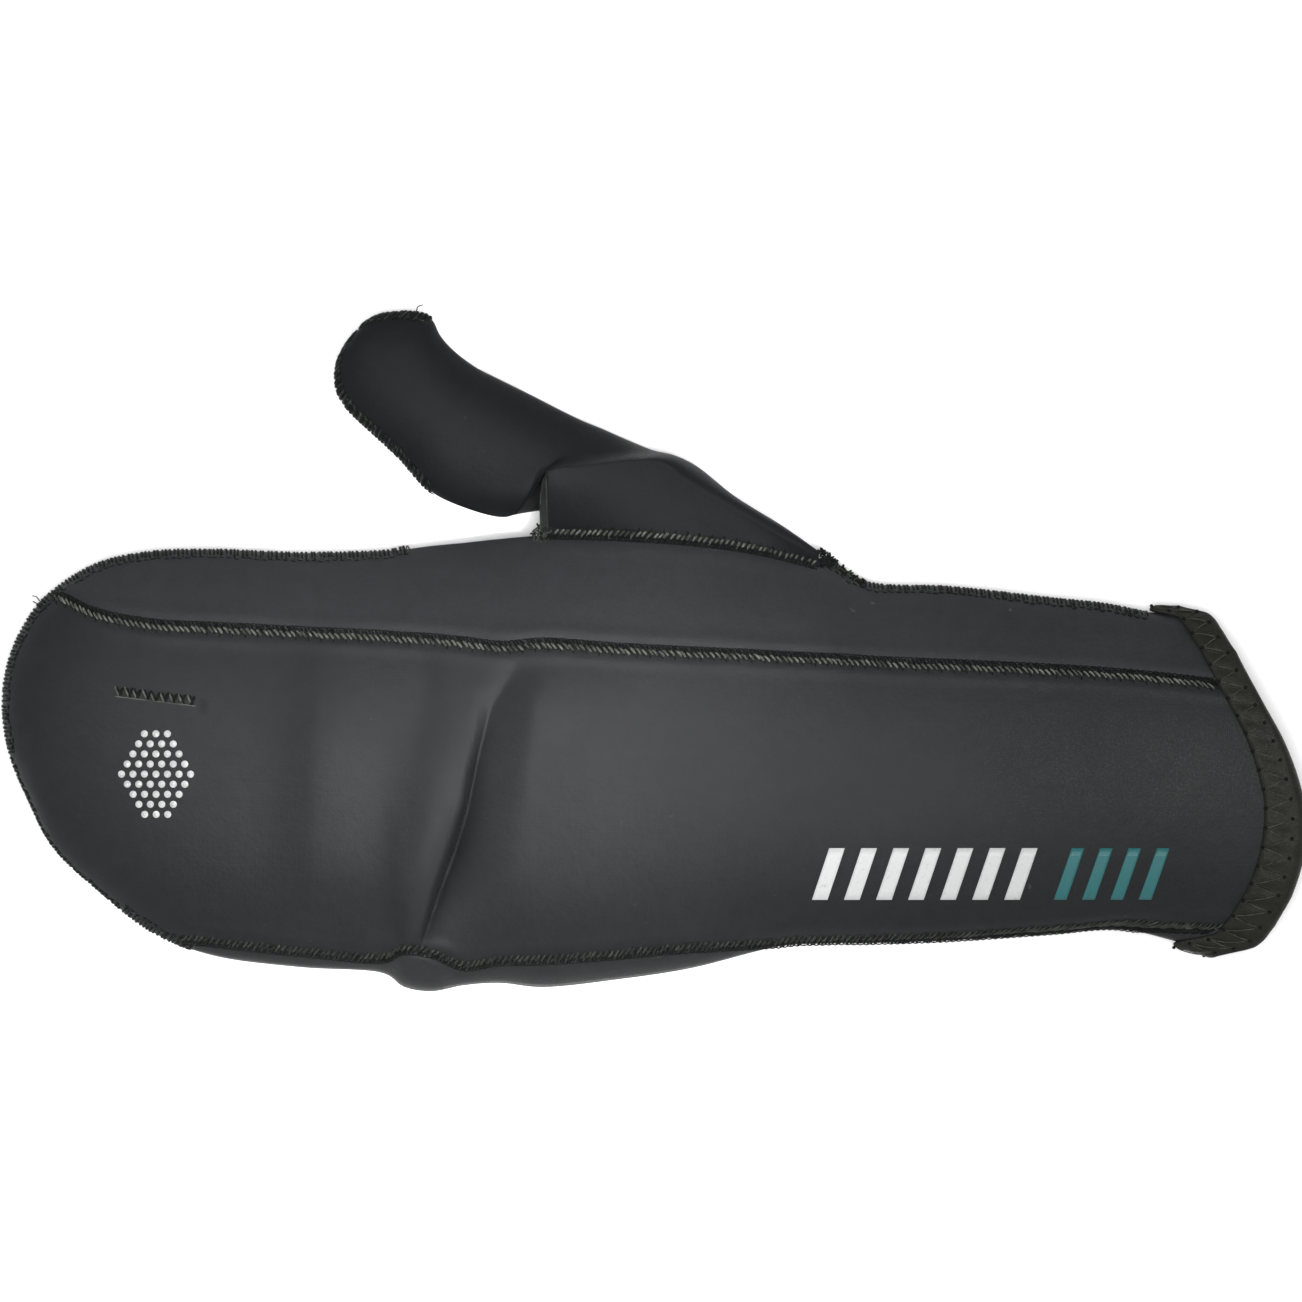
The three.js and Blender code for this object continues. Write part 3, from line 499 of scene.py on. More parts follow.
def build_palm():
    """The underside, and the strip that turns up over the little finger's side."""
    at = body_rows(0, PANEL_END)
    cloth = Cloth()
    under = seam_share("under", at)
    panel(cloth, at, True, np.ones_like(at), under, both_ends, STEPS_ACROSS, -SEAM_GAP / 2)
    at = at[at >= STRIP_START]
    strip = seam_share("strip", at)
    panel(cloth, at, False, strip, np.ones_like(at), lambda f: f, 8, -SEAM_GAP / 2, [strip])
    piece = cloth.build("palm_cloth")
    cut_opening(piece)
    return piece


def gusset_under(row, depth):
    across = seam_share("under", row) - 2 * SEAM_GAP / width_at(row)
    return body_point(row, True, across, depth, -SEAM_GAP / 2)


def gusset_top(row, depth):
    across = seam_share("edge", row) - SEAM_GAP / 2 / width_at(row)
    return body_point(row, False, across, depth, SEAM_GAP / 2)


for i, row in enumerate(thumb["bodyRow"]):
    if thumb["underX"][i] is None:
        under = gusset_under(row, 0.0)
        thumb["underX"][i], thumb["underY"][i] = float(under[0]), float(under[1])
thumb["bodyRow"] = [GUSSET_START if row is None else row for row in thumb["bodyRow"]]


def thumb_pair(side, at):
    return np.stack([smooth(thumb[side + "X"], at), smooth(thumb[side + "Y"], at)], axis=-1)


def thumb_inward(side, at, turn):
    along = thumb_pair(side, np.minimum(at + 0.05, TIP_ROW)) - thumb_pair(side, np.maximum(at - 0.05, 0))
    length = np.linalg.norm(along, axis=-1)
    normal = np.stack([-turn * along[..., 1] / length, turn * along[..., 0] / length], axis=-1)
    return np.where((at > TIP_ROW - 0.01)[..., None], np.array([0.58, -0.81]), normal)


def thumb_section(at):
    closed = at >= CLOSED_ROW
    side_z = smooth(thumb["sideZ"], at)
    ridge = thumb_pair("ridge", at)
    out = thumb_pair("out", at)
    return {
        "start": np.clip(smooth(thumb["start"], at), 0, 0.5),
        "tuck": np.clip(smooth(thumb["tuck"], at), 0, 1),
        "side_z": side_z,
        "thumb_z": smooth(thumb["thumbZ"], at),
        "ridge_z": np.where(closed, side_z, smooth(thumb["ridgeZ"], at)),
        "ridge": ridge,
        "out": out,
        "under": np.where(closed[..., None], ridge, thumb_pair("under", at)),
        "length": np.linalg.norm(out - ridge, axis=-1),
        "out_in": thumb_inward("out", at, 1),
        "ridge_in": thumb_inward("ridge", at, -1),
        "row": smooth(thumb["bodyRow"], at),
    }


def ridge_drop(s, z):
    """Height of the cloth's wall where it stands on edge at the ridge."""
    tall = np.maximum(s["thumb_z"] - s["side_z"], RIDGE_LEAST)
    return np.minimum(WALL * 1.1, (z - s["side_z"]) * WALL / tall)


def join(plan, z):
    return np.concatenate([plan, z[..., None]], axis=-1)


def gusset_surface(at, f):
    """The folded gusset between its seam with the side panel (f 0) and the ridge (f 1)."""
    s = thumb_section(at)
    seam, lining = gusset_top(s["row"], 0.0), gusset_top(s["row"], WALL)
    plan = mix(seam[..., :2], s["ridge"], f[..., None])
    shift = mix(lining[..., :2] - seam[..., :2], s["out_in"] * (WALL * s["tuck"])[..., None], f[..., None])
    z = seam[..., 2] + (s["ridge_z"] - seam[..., 2]) * (1 - (1 - f) ** 1.8)
    drop = mix(seam[..., 2] - lining[..., 2], ridge_drop(s, s["ridge_z"]), f)
    flare = CUT_FLARE * np.clip(at - GUSSET_ROWS + 1, 0, 1) ** 3 * (1 - f**4)
    shift = shift - np.stack([flare, 0 * flare], axis=-1)
    return join(plan, z), join(plan + shift, z - drop)


def thumb_top(at, f):
    s = thumb_section(at)
    across = s["start"] + (1 - s["start"]) * f
    shaped = s["side_z"] + (s["thumb_z"] - s["side_z"]) * dome(across, 2.4, 0.58)
    near = np.exp(-((f * s["length"] / RIDGE_SPREAD) ** 2)) * np.minimum(1, 4 * s["start"])
    z = shaped + (s["ridge_z"] - shaped) * near
    share = np.maximum(s["tuck"], 1 - 2 * s["start"])
    ridge_in = np.where((s["start"] < 0.3)[..., None], s["ridge_in"], s["out_in"])
    plan = mix(s["ridge"], s["out"], f[..., None])
    shift = ridge_in * (WALL * share * (1 - f))[..., None] + s["out_in"] * (WALL * f**2)[..., None]
    return join(plan, z), join(plan + shift, z - ridge_drop(s, z))


def thumb_under(at, f):
    s = thumb_section(at)
    across = f * (1 - s["start"])
    seamed = at <= 3
    seam_z = np.where(seamed, gusset_under(s["row"], 0.0)[..., 2], 0.0)
    floor_z = seam_z * f
    z = floor_z + (s["side_z"] - floor_z) * (1 - flat(across, 6))
    plan = mix(s["out"], s["under"], f[..., None])
    shift = (s["out_in"] * (WALL * (1 - f) ** 2)[..., None]
             + s["ridge_in"] * (WALL * (1 - 2 * s["start"]) * f)[..., None])
    return join(plan, z), join(plan + shift, z + WALL * (s["side_z"] - z) / s["side_z"])


def thumb_rows(start, end):
    dense = np.linspace(start, end, 2000)
    steps = np.maximum(*(step_lengths(thumb_pair(side, dense)) for side in ("ridge", "out")))
    return np.unique(np.concatenate([even_rows(dense, steps, THUMB_STEP), [GUSSET_ROWS, CLOSED_ROW]]))


def build_thumb():
    at = thumb_rows(0, TIP_ROW)
    cloth = Cloth()
    for surface, rows, shares in ((gusset_surface, at[at <= GUSSET_ROWS], np.linspace(0, 1, 19)),
                                  (thumb_top, at, both_ends(np.linspace(0, 1, 33))),
                                  (thumb_under, at, both_ends(np.linspace(0, 1, 25)))):
        cloth.grid(*surface(*np.meshgrid(rows, shares, indexing="ij")))
    return cloth.build("thumb_cloth")


def rim_point(at, lower, across, depth):
    at = np.broadcast_to(np.asarray(at, float), across.shape)
    under, upper = (body_point(at, side, across, depth) for side in (True, False))
    return np.where(lower[..., None], under, upper)


class RimLine:
    """Runs once round the cuff at one row: over the top from the index side, then back underneath."""

    def __init__(self, at):
        f = np.linspace(0, 1, 800)
        self.side = np.concatenate([both_ends(f), 1 + both_ends(f)[1:]])
        lower = self.side > 1
        points = rim_point(at, lower, np.where(lower, 2 - self.side, self.side), -BINDING_HEIGHT)
        self.run = run_of(step_lengths(points))
        self.length = self.run[-1]

    def places(self, along):
        side = np.interp(np.mod(along, self.length), self.run, self.side)
        lower = side > 1
        return lower, np.where(lower, 2 - side, side)


def pucker_rise(at, along):
    """How far the binding's face stands off the cloth, with a pucker at each zigzag stitch."""
    stitched = np.exp(-(((at - ZIGZAG_MIDDLE) / 0.25) ** 2))
    return PUCKER * stitched * np.cos(2 * np.pi * along / ZIGZAG_PITCH)


def binding_profile():
    """Section of the binding, as rows and depths: the hem, the face, the rim, and the inner fold."""
    start, hem_end, panel_end = BINDING_START, 22.5, PANEL_END + 0.03
    hem = [(start, -0.45), (start - 0.02, -0.9), (start, -1.3), (start + 0.04, -1.6), (start + 0.1, -1.75)]
    face = [(row, -BINDING_HEIGHT) for row in np.linspace(start + 0.16, 22.7, 9)]
    turns = np.linspace(0, math.pi, 13)
    rim = [(22.78 + 0.22 * math.sin(turn), 1.25 - 3.05 * math.cos(turn)) for turn in turns]
    inside = [(hem_end, 4.3), (start + 0.1, 4.2), (start, 3.8), (start, BINDING_INSIDE),
              (hem_end, BINDING_INSIDE), (panel_end, BINDING_INSIDE), (panel_end, -0.45), (hem_end, -0.45)]
    return hem + face + rim + inside


def build_binding():
    ring = RimLine(ZIGZAG_MIDDLE)
    along = np.linspace(0, ring.length, BINDING_STEPS + 1)[:-1]
    lower, across = ring.places(along)
    points = []
    for at, depth in binding_profile():
        rise = pucker_rise(at, along) if depth <= -1.6 else 0
        points.append(rim_point(at, lower, across, depth - rise))
    ids = np.arange(len(points) * BINDING_STEPS).reshape(len(points), BINDING_STEPS)
    after = np.roll(ids, -1, axis=1)
    quads = np.stack([ids, after, np.roll(after, -1, axis=0), np.roll(ids, -1, axis=0)], axis=-1)
    return make_mesh("cuff_band", np.concatenate(points), quads.reshape(-1, 4).tolist())


def unit(vectors):
    return vectors / np.linalg.norm(vectors, axis=-1, keepdims=True)


class Threads:
    """Round threads, each a closed tube, gathered into one mesh."""

    def __init__(self):
        self.points = []
        self.faces = []
        self.count = 0

    def add(self, paths, radius, ends=0.55):
        """Adds threads by points by 3, with thinner ends. None sinks through the floor."""
        paths = np.array(paths, float)
        paths[..., 2] = np.maximum(paths[..., 2], np.min(radius) - THREAD_BELOW)
        threads, steps = paths.shape[:2]
        tangent = unit(np.gradient(paths, axis=1))
        run = paths[:, -1] - paths[:, 0]
        aside = (np.cross(run, (0.0, 0.0, 1.0)) + np.array([1e-4, 1e-4, 0]))[:, None, :]
        one = unit(aside - np.sum(aside * tangent, axis=-1, keepdims=True) * tangent)
        two = np.cross(tangent, one)
        angle = (np.arange(THREAD_SIDES) * 2 * np.pi / THREAD_SIDES)[:, None]
        size = np.broadcast_to(np.asarray(radius, float), (threads,))[:, None]
        taper = np.ones(steps)
        taper[[0, -1]] = ends
        reach = (size * taper)[:, :, None, None]
        circle = np.cos(angle) * one[:, :, None, :] + np.sin(angle) * two[:, :, None, :]
        self.points.append((paths[:, :, None, :] + reach * circle).reshape(-1, 3))
        ids = np.arange(threads * steps * THREAD_SIDES).reshape(threads, steps, THREAD_SIDES) + self.count
        after = np.roll(ids, -1, axis=2)
        quads = np.stack([ids[:, :-1], after[:, :-1], after[:, 1:], ids[:, 1:]], axis=-1)
        self.faces += quads.reshape(-1, 4).tolist() + ids[:, 0, ::-1].tolist() + ids[:, -1].tolist()
        self.count += ids.size

    def build(self, name):
        return make_mesh(name, np.concatenate(self.points), self.faces)


class Line:
    """A line over the cloth that stitches follow, measured in millimetres along it."""

    def __init__(self, rows, surface):
        self.rows = rows
        self.surface = surface
        self.run = run_of(step_lengths(surface(rows, np.zeros_like(rows), 0.0)))
        self.length = self.run[-1]

    def point(self, along, off, rise):
        """The point off the line by a distance across it, and above the cloth by the rise."""
        along, off, rise = np.broadcast_arrays(along, off, rise)
        return self.surface(np.interp(along, self.run, self.rows), off, rise)


def seam_line(name, start, end):
    def surface(at, off, rise):
        return body_point(at, False, seam_share(name, at) + off / width_at(at), -rise)
    return Line(np.linspace(start, end, 3000), surface)


def locate(x, y):
    """Row and share across of the points of the top that lie over x, y, by Newton's method."""
    dense = np.linspace(0, RIM_ROW, 800)
    at = np.interp(x, contour(dense, "index")[0], dense)
    index_y, little_y = contour(at, "index")[1], contour(at, "little")[1]
    across = np.clip((index_y - y) / np.maximum(index_y - little_y, 1), 0, 1)
    step = 1e-3
    for _ in range(12):
        here = body_point(at, False, across)
        by_at = (body_point(at + step, False, across) - here) / step
        by_across = (body_point(at, False, np.minimum(across + step, 1)) - here) / step
        miss_x, miss_y = x - here[..., 0], y - here[..., 1]
        area = by_at[..., 0] * by_across[..., 1] - by_at[..., 1] * by_across[..., 0]
        area = np.where(np.abs(area) < 1, 1, area)
        at = at + np.clip((miss_x * by_across[..., 1] - miss_y * by_across[..., 0]) / area, -0.5, 0.5)
        across = across + np.clip((by_at[..., 0] * miss_y - by_at[..., 1] * miss_x) / area, -0.1, 0.1)
        at, across = np.clip(at, 0.02, 22.98), np.clip(across, 0, 1)
    return at, across


def on_top(x, y, rise):
    """Points of the top over x, y, raised straight up."""
    x, y, rise = np.broadcast_arrays(*(np.asarray(v, float) for v in (x, y, rise)))
    at, across = locate(x, y)
    return np.stack([x, y, body_point(at, False, across)[..., 2] + rise], axis=-1)


def contour_line(side, start, end):
    """The sewn edge of the mitt's outline; off it by more than 0 is the top, by less the underside."""
    def surface(at, off, rise):
        px, py = contour(at, side)
        nx, ny = inward(at, side)
        reach = np.abs(off)
        rows, across = locate(px + nx * reach, py + ny * reach)
        edge = reach < 0.02
        rows = np.where(edge, at, rows)
        across = np.where(edge, 1.0 if side == "little" else 0.0, across)
        upper, under = (body_point(rows, lower, across) for lower in (False, True))
        point = np.where((off > 0)[..., None], upper, under)
        out = np.stack([-nx, -ny, np.zeros_like(nx)], axis=-1)
        up = np.array([0.0, 0.0, 1.0]) * np.sign(off)[..., None]
        lean = np.clip(reach / 2.0, 0, 1)[..., None]
        return point + unit(out * (1 - lean) + up * lean) * np.asarray(rise)[..., None]
    return Line(np.linspace(start, end, 3000), surface)


def thumb_line(side, start, end):
    """The sewn outline of the thumb, on its outer or its inner side."""
    def surface(at, off, rise):
        length = np.maximum(thumb_section(at)["length"], 7)
        f = np.clip(np.abs(off) / length, 0, 0.45)
        top, top_in = thumb_top(at, 1 - f if side == "out" else f)
        under, under_in = thumb_under(at, f if side == "out" else 1 - f)
        over = (off > 0)[..., None]
        point, lining = np.where(over, top, under), np.where(over, top_in, under_in)
        return point + unit(point - lining) * np.asarray(rise)[..., None]
    return Line(np.linspace(start, end, 1500), surface)


def gusset_line():
    """The seam between side panel (off above 0) and gusset (off below 0)."""
    thumb_at = np.linspace(0, GUSSET_ROWS, 400)
    body_at = smooth(thumb["bodyRow"], thumb_at)
    order = np.argsort(body_at)

    def surface(at, off, rise):
        row = np.interp(at, body_at[order], thumb_at[order])
        ridge, seam = gusset_surface(row, np.ones_like(row))[0], gusset_surface(row, np.zeros_like(row))[0]
        strip = np.maximum(np.linalg.norm(ridge - seam, axis=-1), 1)
        f = np.clip(-off / strip, 0, 1)
        folded = gusset_surface(row, f)[0] + np.asarray(rise)[..., None] * np.array([0.0, 0.25, 0.97])
        flat_side = body_point(at, False, seam_share("edge", at) + np.maximum(off, 0) / width_at(at), -rise)
        return np.where((off < 0)[..., None], folded, flat_side)
    return Line(np.linspace(GUSSET_START, 17.1, 1500), surface)


# Stitches are laid out in millimetres along and across their line
THREAD_SIDES = 6
THREAD_BELOW = 0.1
STITCH_POINTS = 6
BARE_ROWS = (1.15, 4.45)
rng = np.random.default_rng(11)


def jitter(count, size):
    return rng.uniform(-size, size, count)[:, None]


def arch(steps, height, sunk=-0.3):
    """Rise of a stitch along its length: its ends go down into the cloth."""
    return sunk + (height - sunk) * np.sin(np.pi * np.linspace(0, 1, steps)) ** 0.5


def cross_stitches(line, threads, pitch, offs, slant, radius, height, start=0.0, wobble=0.08):
    """Stitches laid across a line, from the first offset to the last, each slanted along it."""
    along = np.arange(start, line.length - abs(slant), pitch)[:, None]
    along = along + jitter(len(along), wobble)
    f = np.linspace(0, 1, STITCH_POINTS)[None, :]
    off = mix(offs[0], offs[1], f) + jitter(len(along), wobble)
    paths = line.point(along + slant * f, off, arch(STITCH_POINTS, height))
    threads.add(paths, radius * (1 + jitter(len(along), 0.12)[:, 0]))


def running_thread(line, threads, off, radius, rise, pitch=1.7):
    """One long thread beside a line, waving a little at each stitch."""
    along = np.arange(0, line.length, 0.45)
    turn = 2 * np.pi * along / pitch
    threads.add(line.point(along, off + 0.12 * np.sin(turn), rise + 0.08 * np.cos(turn))[None], radius)


def flat_seam(line, pale, dark, side=1, comb=True):
    """A flat seam: a dark twisted cord beside slanted pale threads, and a comb of dark needle legs."""
    def cross(threads, pitch, offs, **style):
        cross_stitches(line, threads, pitch, np.multiply(offs, side), **style)

    running_thread(line, dark, -1.15 * side, 0.17, rise=0.08)
    cross(dark, 0.95, (-0.95, 0.3), slant=0.8, radius=0.25, height=0.36, wobble=0.2)
    cross(pale, 1.5, (0.05, 1.65), slant=1.5, radius=0.3, height=0.36, wobble=0.22)
    cross(dark, 1.7, (0.3, 1.6), slant=-0.6, radius=0.14, height=0.26, start=0.6, wobble=0.15)
    running_thread(line, dark, 1.8 * side, 0.13, rise=0.0, pitch=3.4)
    if comb:
        cross(dark, 3.4, (1.6, 2.7), slant=0.15, radius=0.24, height=0.16, start=0.9)


def wrapped_edge(line, pale, dark, top=2.0, bold=1.0):
    """An overlocked edge: threads wrapped round the two cut edges, and a line of loops on top."""
    under = -1.6
    f = np.linspace(-1, 1, 9)
    off = np.where(f < 0, under, top) * f**2
    lift = 0.06 + 0.5 * (bold - 1) - 0.3 * np.abs(f) ** 6
    for threads, first, pitch, slant, radius in ((dark, 0.0, 1.15, 0.7, 0.36), (pale, 0.6, 1.7, 1.5, 0.24)):
        along = np.arange(first, line.length - 1.2, pitch)[:, None]
        along = along + jitter(len(along), 0.25)
        grow = 1 + jitter(len(along), 0.25)
        threads.add(line.point(along + slant * (f + 1) / 2, off * grow, lift),
                    radius * bold * (1 + jitter(len(along), 0.15)[:, 0]))
    cross_stitches(line, dark, 1.9, (top + 0.05, top + 0.25), slant=1.6, radius=0.18, height=0.2, wobble=0.25)
    cross_stitches(line, pale, 1.9, (top - 0.6, top - 0.1), slant=1.2, radius=0.17, height=0.26, start=0.7,
                   wobble=0.25)


def bar_tack(pale, dark):
    """A short band of zigzag stitches on the fingers."""
    (x0, y0), (x1, y1) = TACK_FROM, TACK_TO
    legs = np.arange(TACK_TEETH * 2)[:, None]
    f = np.linspace(0, 1, STITCH_POINTS)[None, :]
    share = mix(legs / len(legs), (legs + 1) / len(legs), f)
    swing = np.where(legs % 2 == 0, 1, -1) * TACK_HALF * (1 - 2 * f)
    x = x0 + (x1 - x0) * share + jitter(len(legs), 0.25)
    y = y0 + (y1 - y0) * share + swing + jitter(len(legs), 0.2)
    paths = on_top(x, y, arch(STITCH_POINTS, 0.28, -0.2))
    pale.add(paths[::2], 0.3)
    dark.add(paths[1::2], 0.42)
    dark.add(paths[::2] + np.array([0.45, 0, -0.02]), 0.34)
    low_y = np.linspace(y0, y1, 60) - TACK_HALF - 0.1
    pale.add(on_top(np.linspace(x0, x1, 60), low_y, 0.1)[None], 0.14)


def zigzag(pale, dark):
    """The cuff band's zigzag: an outward leg and a slanted leg back, with a dark thread blob at each end as
    painted shade of a needle hole.
    """
    ring = RimLine(ZIGZAG_MIDDLE)
    count = int(ring.length / ZIGZAG_PITCH)
    pitch = ring.length / count
    along = np.arange(count)[:, None] * pitch
    f = np.linspace(0, 1, 7)[None, :]
    rise = BINDING_HEIGHT + PUCKER * 0.4 + arch(7, 0.16, -0.45)
    hole_depth = 0.02 - BINDING_HEIGHT
    for share_from, share_to, start, end in ((0.1, 0.35, *ZIGZAG_ROWS), (0.35, 1.1, *ZIGZAG_ROWS[::-1])):
        places = along + pitch * mix(share_from, share_to, f) + jitter(count, 0.2)
        pale.add(rim_point(mix(start, end, f), *ring.places(places), -rise), 0.14)
    # Dark blobs sunk into the band at the ends of the legs: painted shade in the needle holes
    for share, row in ((0.1, ZIGZAG_ROWS[0] - 0.01), (0.35, ZIGZAG_ROWS[1] + 0.02)):
        places = along + pitch * share + np.linspace(-0.45, 0.45, 4)
        dark.add(rim_point(row, *ring.places(places), hole_depth), 0.5, ends=0.5)


def knot(threads, centre, reach, count, radius, height):
    """A small heap of crossing thread loops."""
    f = np.linspace(0, 1, 8)[None, :]
    turn = rng.uniform(0, 2 * np.pi, count)[:, None]
    away = rng.uniform(0, 1, count)[:, None] ** 0.7
    tilt = rng.uniform(0, np.pi, count)[:, None]
    x = centre[0] + reach[0] * away * np.cos(turn) + np.cos(tilt) * (f - 0.5) * 2
    y = centre[1] + reach[1] * away * np.sin(turn) + np.sin(tilt) * (f - 0.5) * 2
    z = centre[2] + height * (1 - away) * np.sin(np.pi * f) + jitter(count, 0.3)
    threads.add(np.stack([x, y, z], axis=-1), radius)


def loose_end(threads, points):
    """One free thread end on a smooth curve through a few points."""
    at = np.linspace(0, len(points) - 1, 14)
    threads.add(np.stack([smooth(values, at) for values in zip(*points)], axis=-1)[None], 0.16)


def sew(pale, middle, dark, light):
    """Lays all the stitches, in a fixed order because they share one row of random numbers."""
    flat_seam(seam_line("back", BACK_SEAM_START + 0.02, BINDING_START), pale, dark)
    flat_seam(seam_line("strip", STRIP_START + 0.02, BINDING_START), middle, dark, side=-1, comb=False)
    flat_seam(gusset_line(), pale, dark, side=-1)
    wrapped_edge(contour_line("index", 0.03, 9.3), middle, dark)
    wrapped_edge(contour_line("little", 0.03, BARE_ROWS[0]), middle, dark)
    wrapped_edge(contour_line("little", *BARE_ROWS), middle, dark, top=0.6)
    wrapped_edge(contour_line("little", BARE_ROWS[1], 5.7), middle, dark)
    wrapped_edge(contour_line("index", 17.4, BINDING_START), middle, dark, top=1.8)
    wrapped_edge(thumb_line("out", 15, 19.7), middle, dark, top=2.5, bold=1.3)
    wrapped_edge(thumb_line("ridge", CLOSED_ROW, 19.7), middle, dark, top=1.8, bold=1.3)
    bar_tack(pale, dark)
    zigzag(light, dark)

    # Knots where the gusset starts: thread, place from the corner, reach, count, radius, height
    crotch = body_point(GUSSET_START, False, seam_share("edge", GUSSET_START))
    for threads, aside, *heap in ((middle, (-1.0, 0.6, 0.6), (3.2, 2.4), 34, 0.24, 1.6),
                                  (dark, (-1.0, 0.4, 0.4), (3.4, 2.6), 30, 0.26, 1.2),
                                  (middle, (2.4, 6.5, 1.2), (1.4, 2.2), 14, 0.22, 1.0)):
        knot(threads, crotch + np.array(aside), *heap)

    # A thread along each face of the gusset's cut end
    cut_f = np.linspace(0.04, 0.97, 40)
    for raw_edge in gusset_surface(np.full_like(cut_f, GUSSET_ROWS), cut_f):
        middle.add(raw_edge[None] + np.array([0.05, 0, 0.06]), 0.2)

    # Knots at the gusset's far end and along the edge after it
    gusset_end = gusset_surface(np.zeros(1), np.array([0.4]))[0][0]
    for aside, *heap in (((0.9, -0.3, -0.6), (0.7, 1.3), 26, 0.34), ((1.4, -1.0, -1.6), (0.8, 1.3), 26, 0.34),
                         ((1.8, -1.2, -0.4), (1.0, 1.2), 22, 0.3)):
        knot(dark, gusset_end + np.array(aside), *heap, 0.3)
    tail = contour_line("index", 17.2, 17.95)
    for share in np.linspace(0, 1, 7):
        place = tail.point(np.array([share * tail.length]), 0.6, 0.9 * (1 - share))[0]
        knot(dark, place, (0.7, 0.6), 9, 0.26, 0.3)
        knot(middle, place, (0.7, 0.5), 6, 0.22, 0.35)

    # Loose ends at the thumb's tip, at the end of its overlock, and two at the fingertips
    loose_end(middle, [(-64.6, 89.6, 6.5), (-63.4, 91.0, 7.2), (-62.9, 92.6, 7.4), (-61.4, 93.2, 6.8)])
    loose_end(middle, [(-60.6, 46.0, 6.5), (-59.6, 44.2, 6.8), (-59.9, 42.8, 6.2), (-58.6, 42.0, 5.6)])
    loose_end(middle, [(-162.6, 12.4, 6.5), (-164.6, 13.0, 7.2), (-165.9, 14.4, 7.2), (-167.2, 14.6, 6.6)])
    loose_end(dark, [(-163.4, 12.8, 6.5), (-165.2, 12.4, 7.2), (-166.9, 13.2, 7.0)])


# Material helpers. Noise and wave scales are per metre of the object's own coordinates.
WALE_SCALE = 520
LOOP_SCALE = 610


def set_inputs(tree, made, values):
    """Sets each named socket to a number or a colour, or links it to another node's output."""
    for name, value in values.items():
        socket = next(s for s in made.inputs if s.name == name and s.enabled)
        if isinstance(value, (int, float)):
            socket.default_value = value
        elif isinstance(value, (list, tuple)):
            socket.default_value = [*value, 1]
        else:
            tree.links.new(value, socket)


def node(tree, kind, inputs=None, **settings):
    made = tree.nodes.new(kind)
    for key, value in settings.items():
        setattr(made, key, value)
    set_inputs(tree, made, inputs or {})
    return made


def new_material(name):
    material = bpy.data.materials.new(name)
    material.use_nodes = True
    tree = material.node_tree
    return material, tree, tree.nodes["Principled BSDF"]


def object_place(tree):
    return node(tree, "ShaderNodeTexCoord").outputs["Object"]


def shade(colour, amount):
    return [value * amount for value in colour]


def ramp(tree, factor, low, high, start=0.0, end=1.0):
    """A colour ramp from one colour to another, driven by a factor."""
    made = node(tree, "ShaderNodeValToRGB", {"Fac": factor})
    for element, place, colour in zip(made.color_ramp.elements, (start, end), (low, high)):
        element.position = place
        element.color = [*colour, 1]
    return made.outputs["Color"]


def grey_ramp(tree, factor, low, high, start, end):
    return ramp(tree, factor, [low] * 3, [high] * 3, start, end)


def remap(tree, factor, start, end, low, high):
    ends = {"From Min": start, "From Max": end, "To Min": low, "To Max": high}
    return node(tree, "ShaderNodeMapRange", {"Value": factor, **ends}).outputs["Result"]


def noise(tree, place, scale, detail=2, rough=0.5):
    inputs = {"Vector": place, "Scale": scale, "Detail": detail, "Roughness": rough}
    return node(tree, "ShaderNodeTexNoise", inputs).outputs["Fac"]


def wave(tree, place, direction, scale, distortion):
    inputs = {"Vector": place, "Scale": scale, "Distortion": distortion, "Detail": 1, "Detail Scale": 1.5}
    return node(tree, "ShaderNodeTexWave", inputs, bands_direction=direction).outputs["Fac"]


def maths(tree, operation, first, second):
    made = node(tree, "ShaderNodeMath", operation=operation)
    for socket, value in zip(made.inputs, (first, second)):
        if isinstance(value, (int, float)):
            socket.default_value = value
        else:
            tree.links.new(value, socket)
    return made.outputs[0]


def weigh(tree, first, share, second, rest):
    """Two factors added up, each with its own weight."""
    return maths(tree, "ADD", maths(tree, "MULTIPLY", first, share), maths(tree, "MULTIPLY", second, rest))


def blend(tree, kind, factor, first, second):
    inputs = {"Factor": factor, "A": first, "B": second}
    made = node(tree, "ShaderNodeMix", inputs, data_type="RGBA", blend_type=kind)
    return next(s for s in made.outputs if s.enabled)


def bump(tree, height, strength, distance, before=None):
    inputs = {"Height": height, "Strength": strength, "Distance": distance}
    if before is not None:
        inputs["Normal"] = before
    return node(tree, "ShaderNodeBump", inputs).outputs["Normal"]


def knit(tree, place, courses="X"):
    """Wales across the courses, and loops along them."""
    wales = wave(tree, place, "Y" if courses == "X" else "X", WALE_SCALE, 0.6)
    return maths(tree, "MULTIPLY", wales, wave(tree, place, courses, LOOP_SCALE, 1.2))


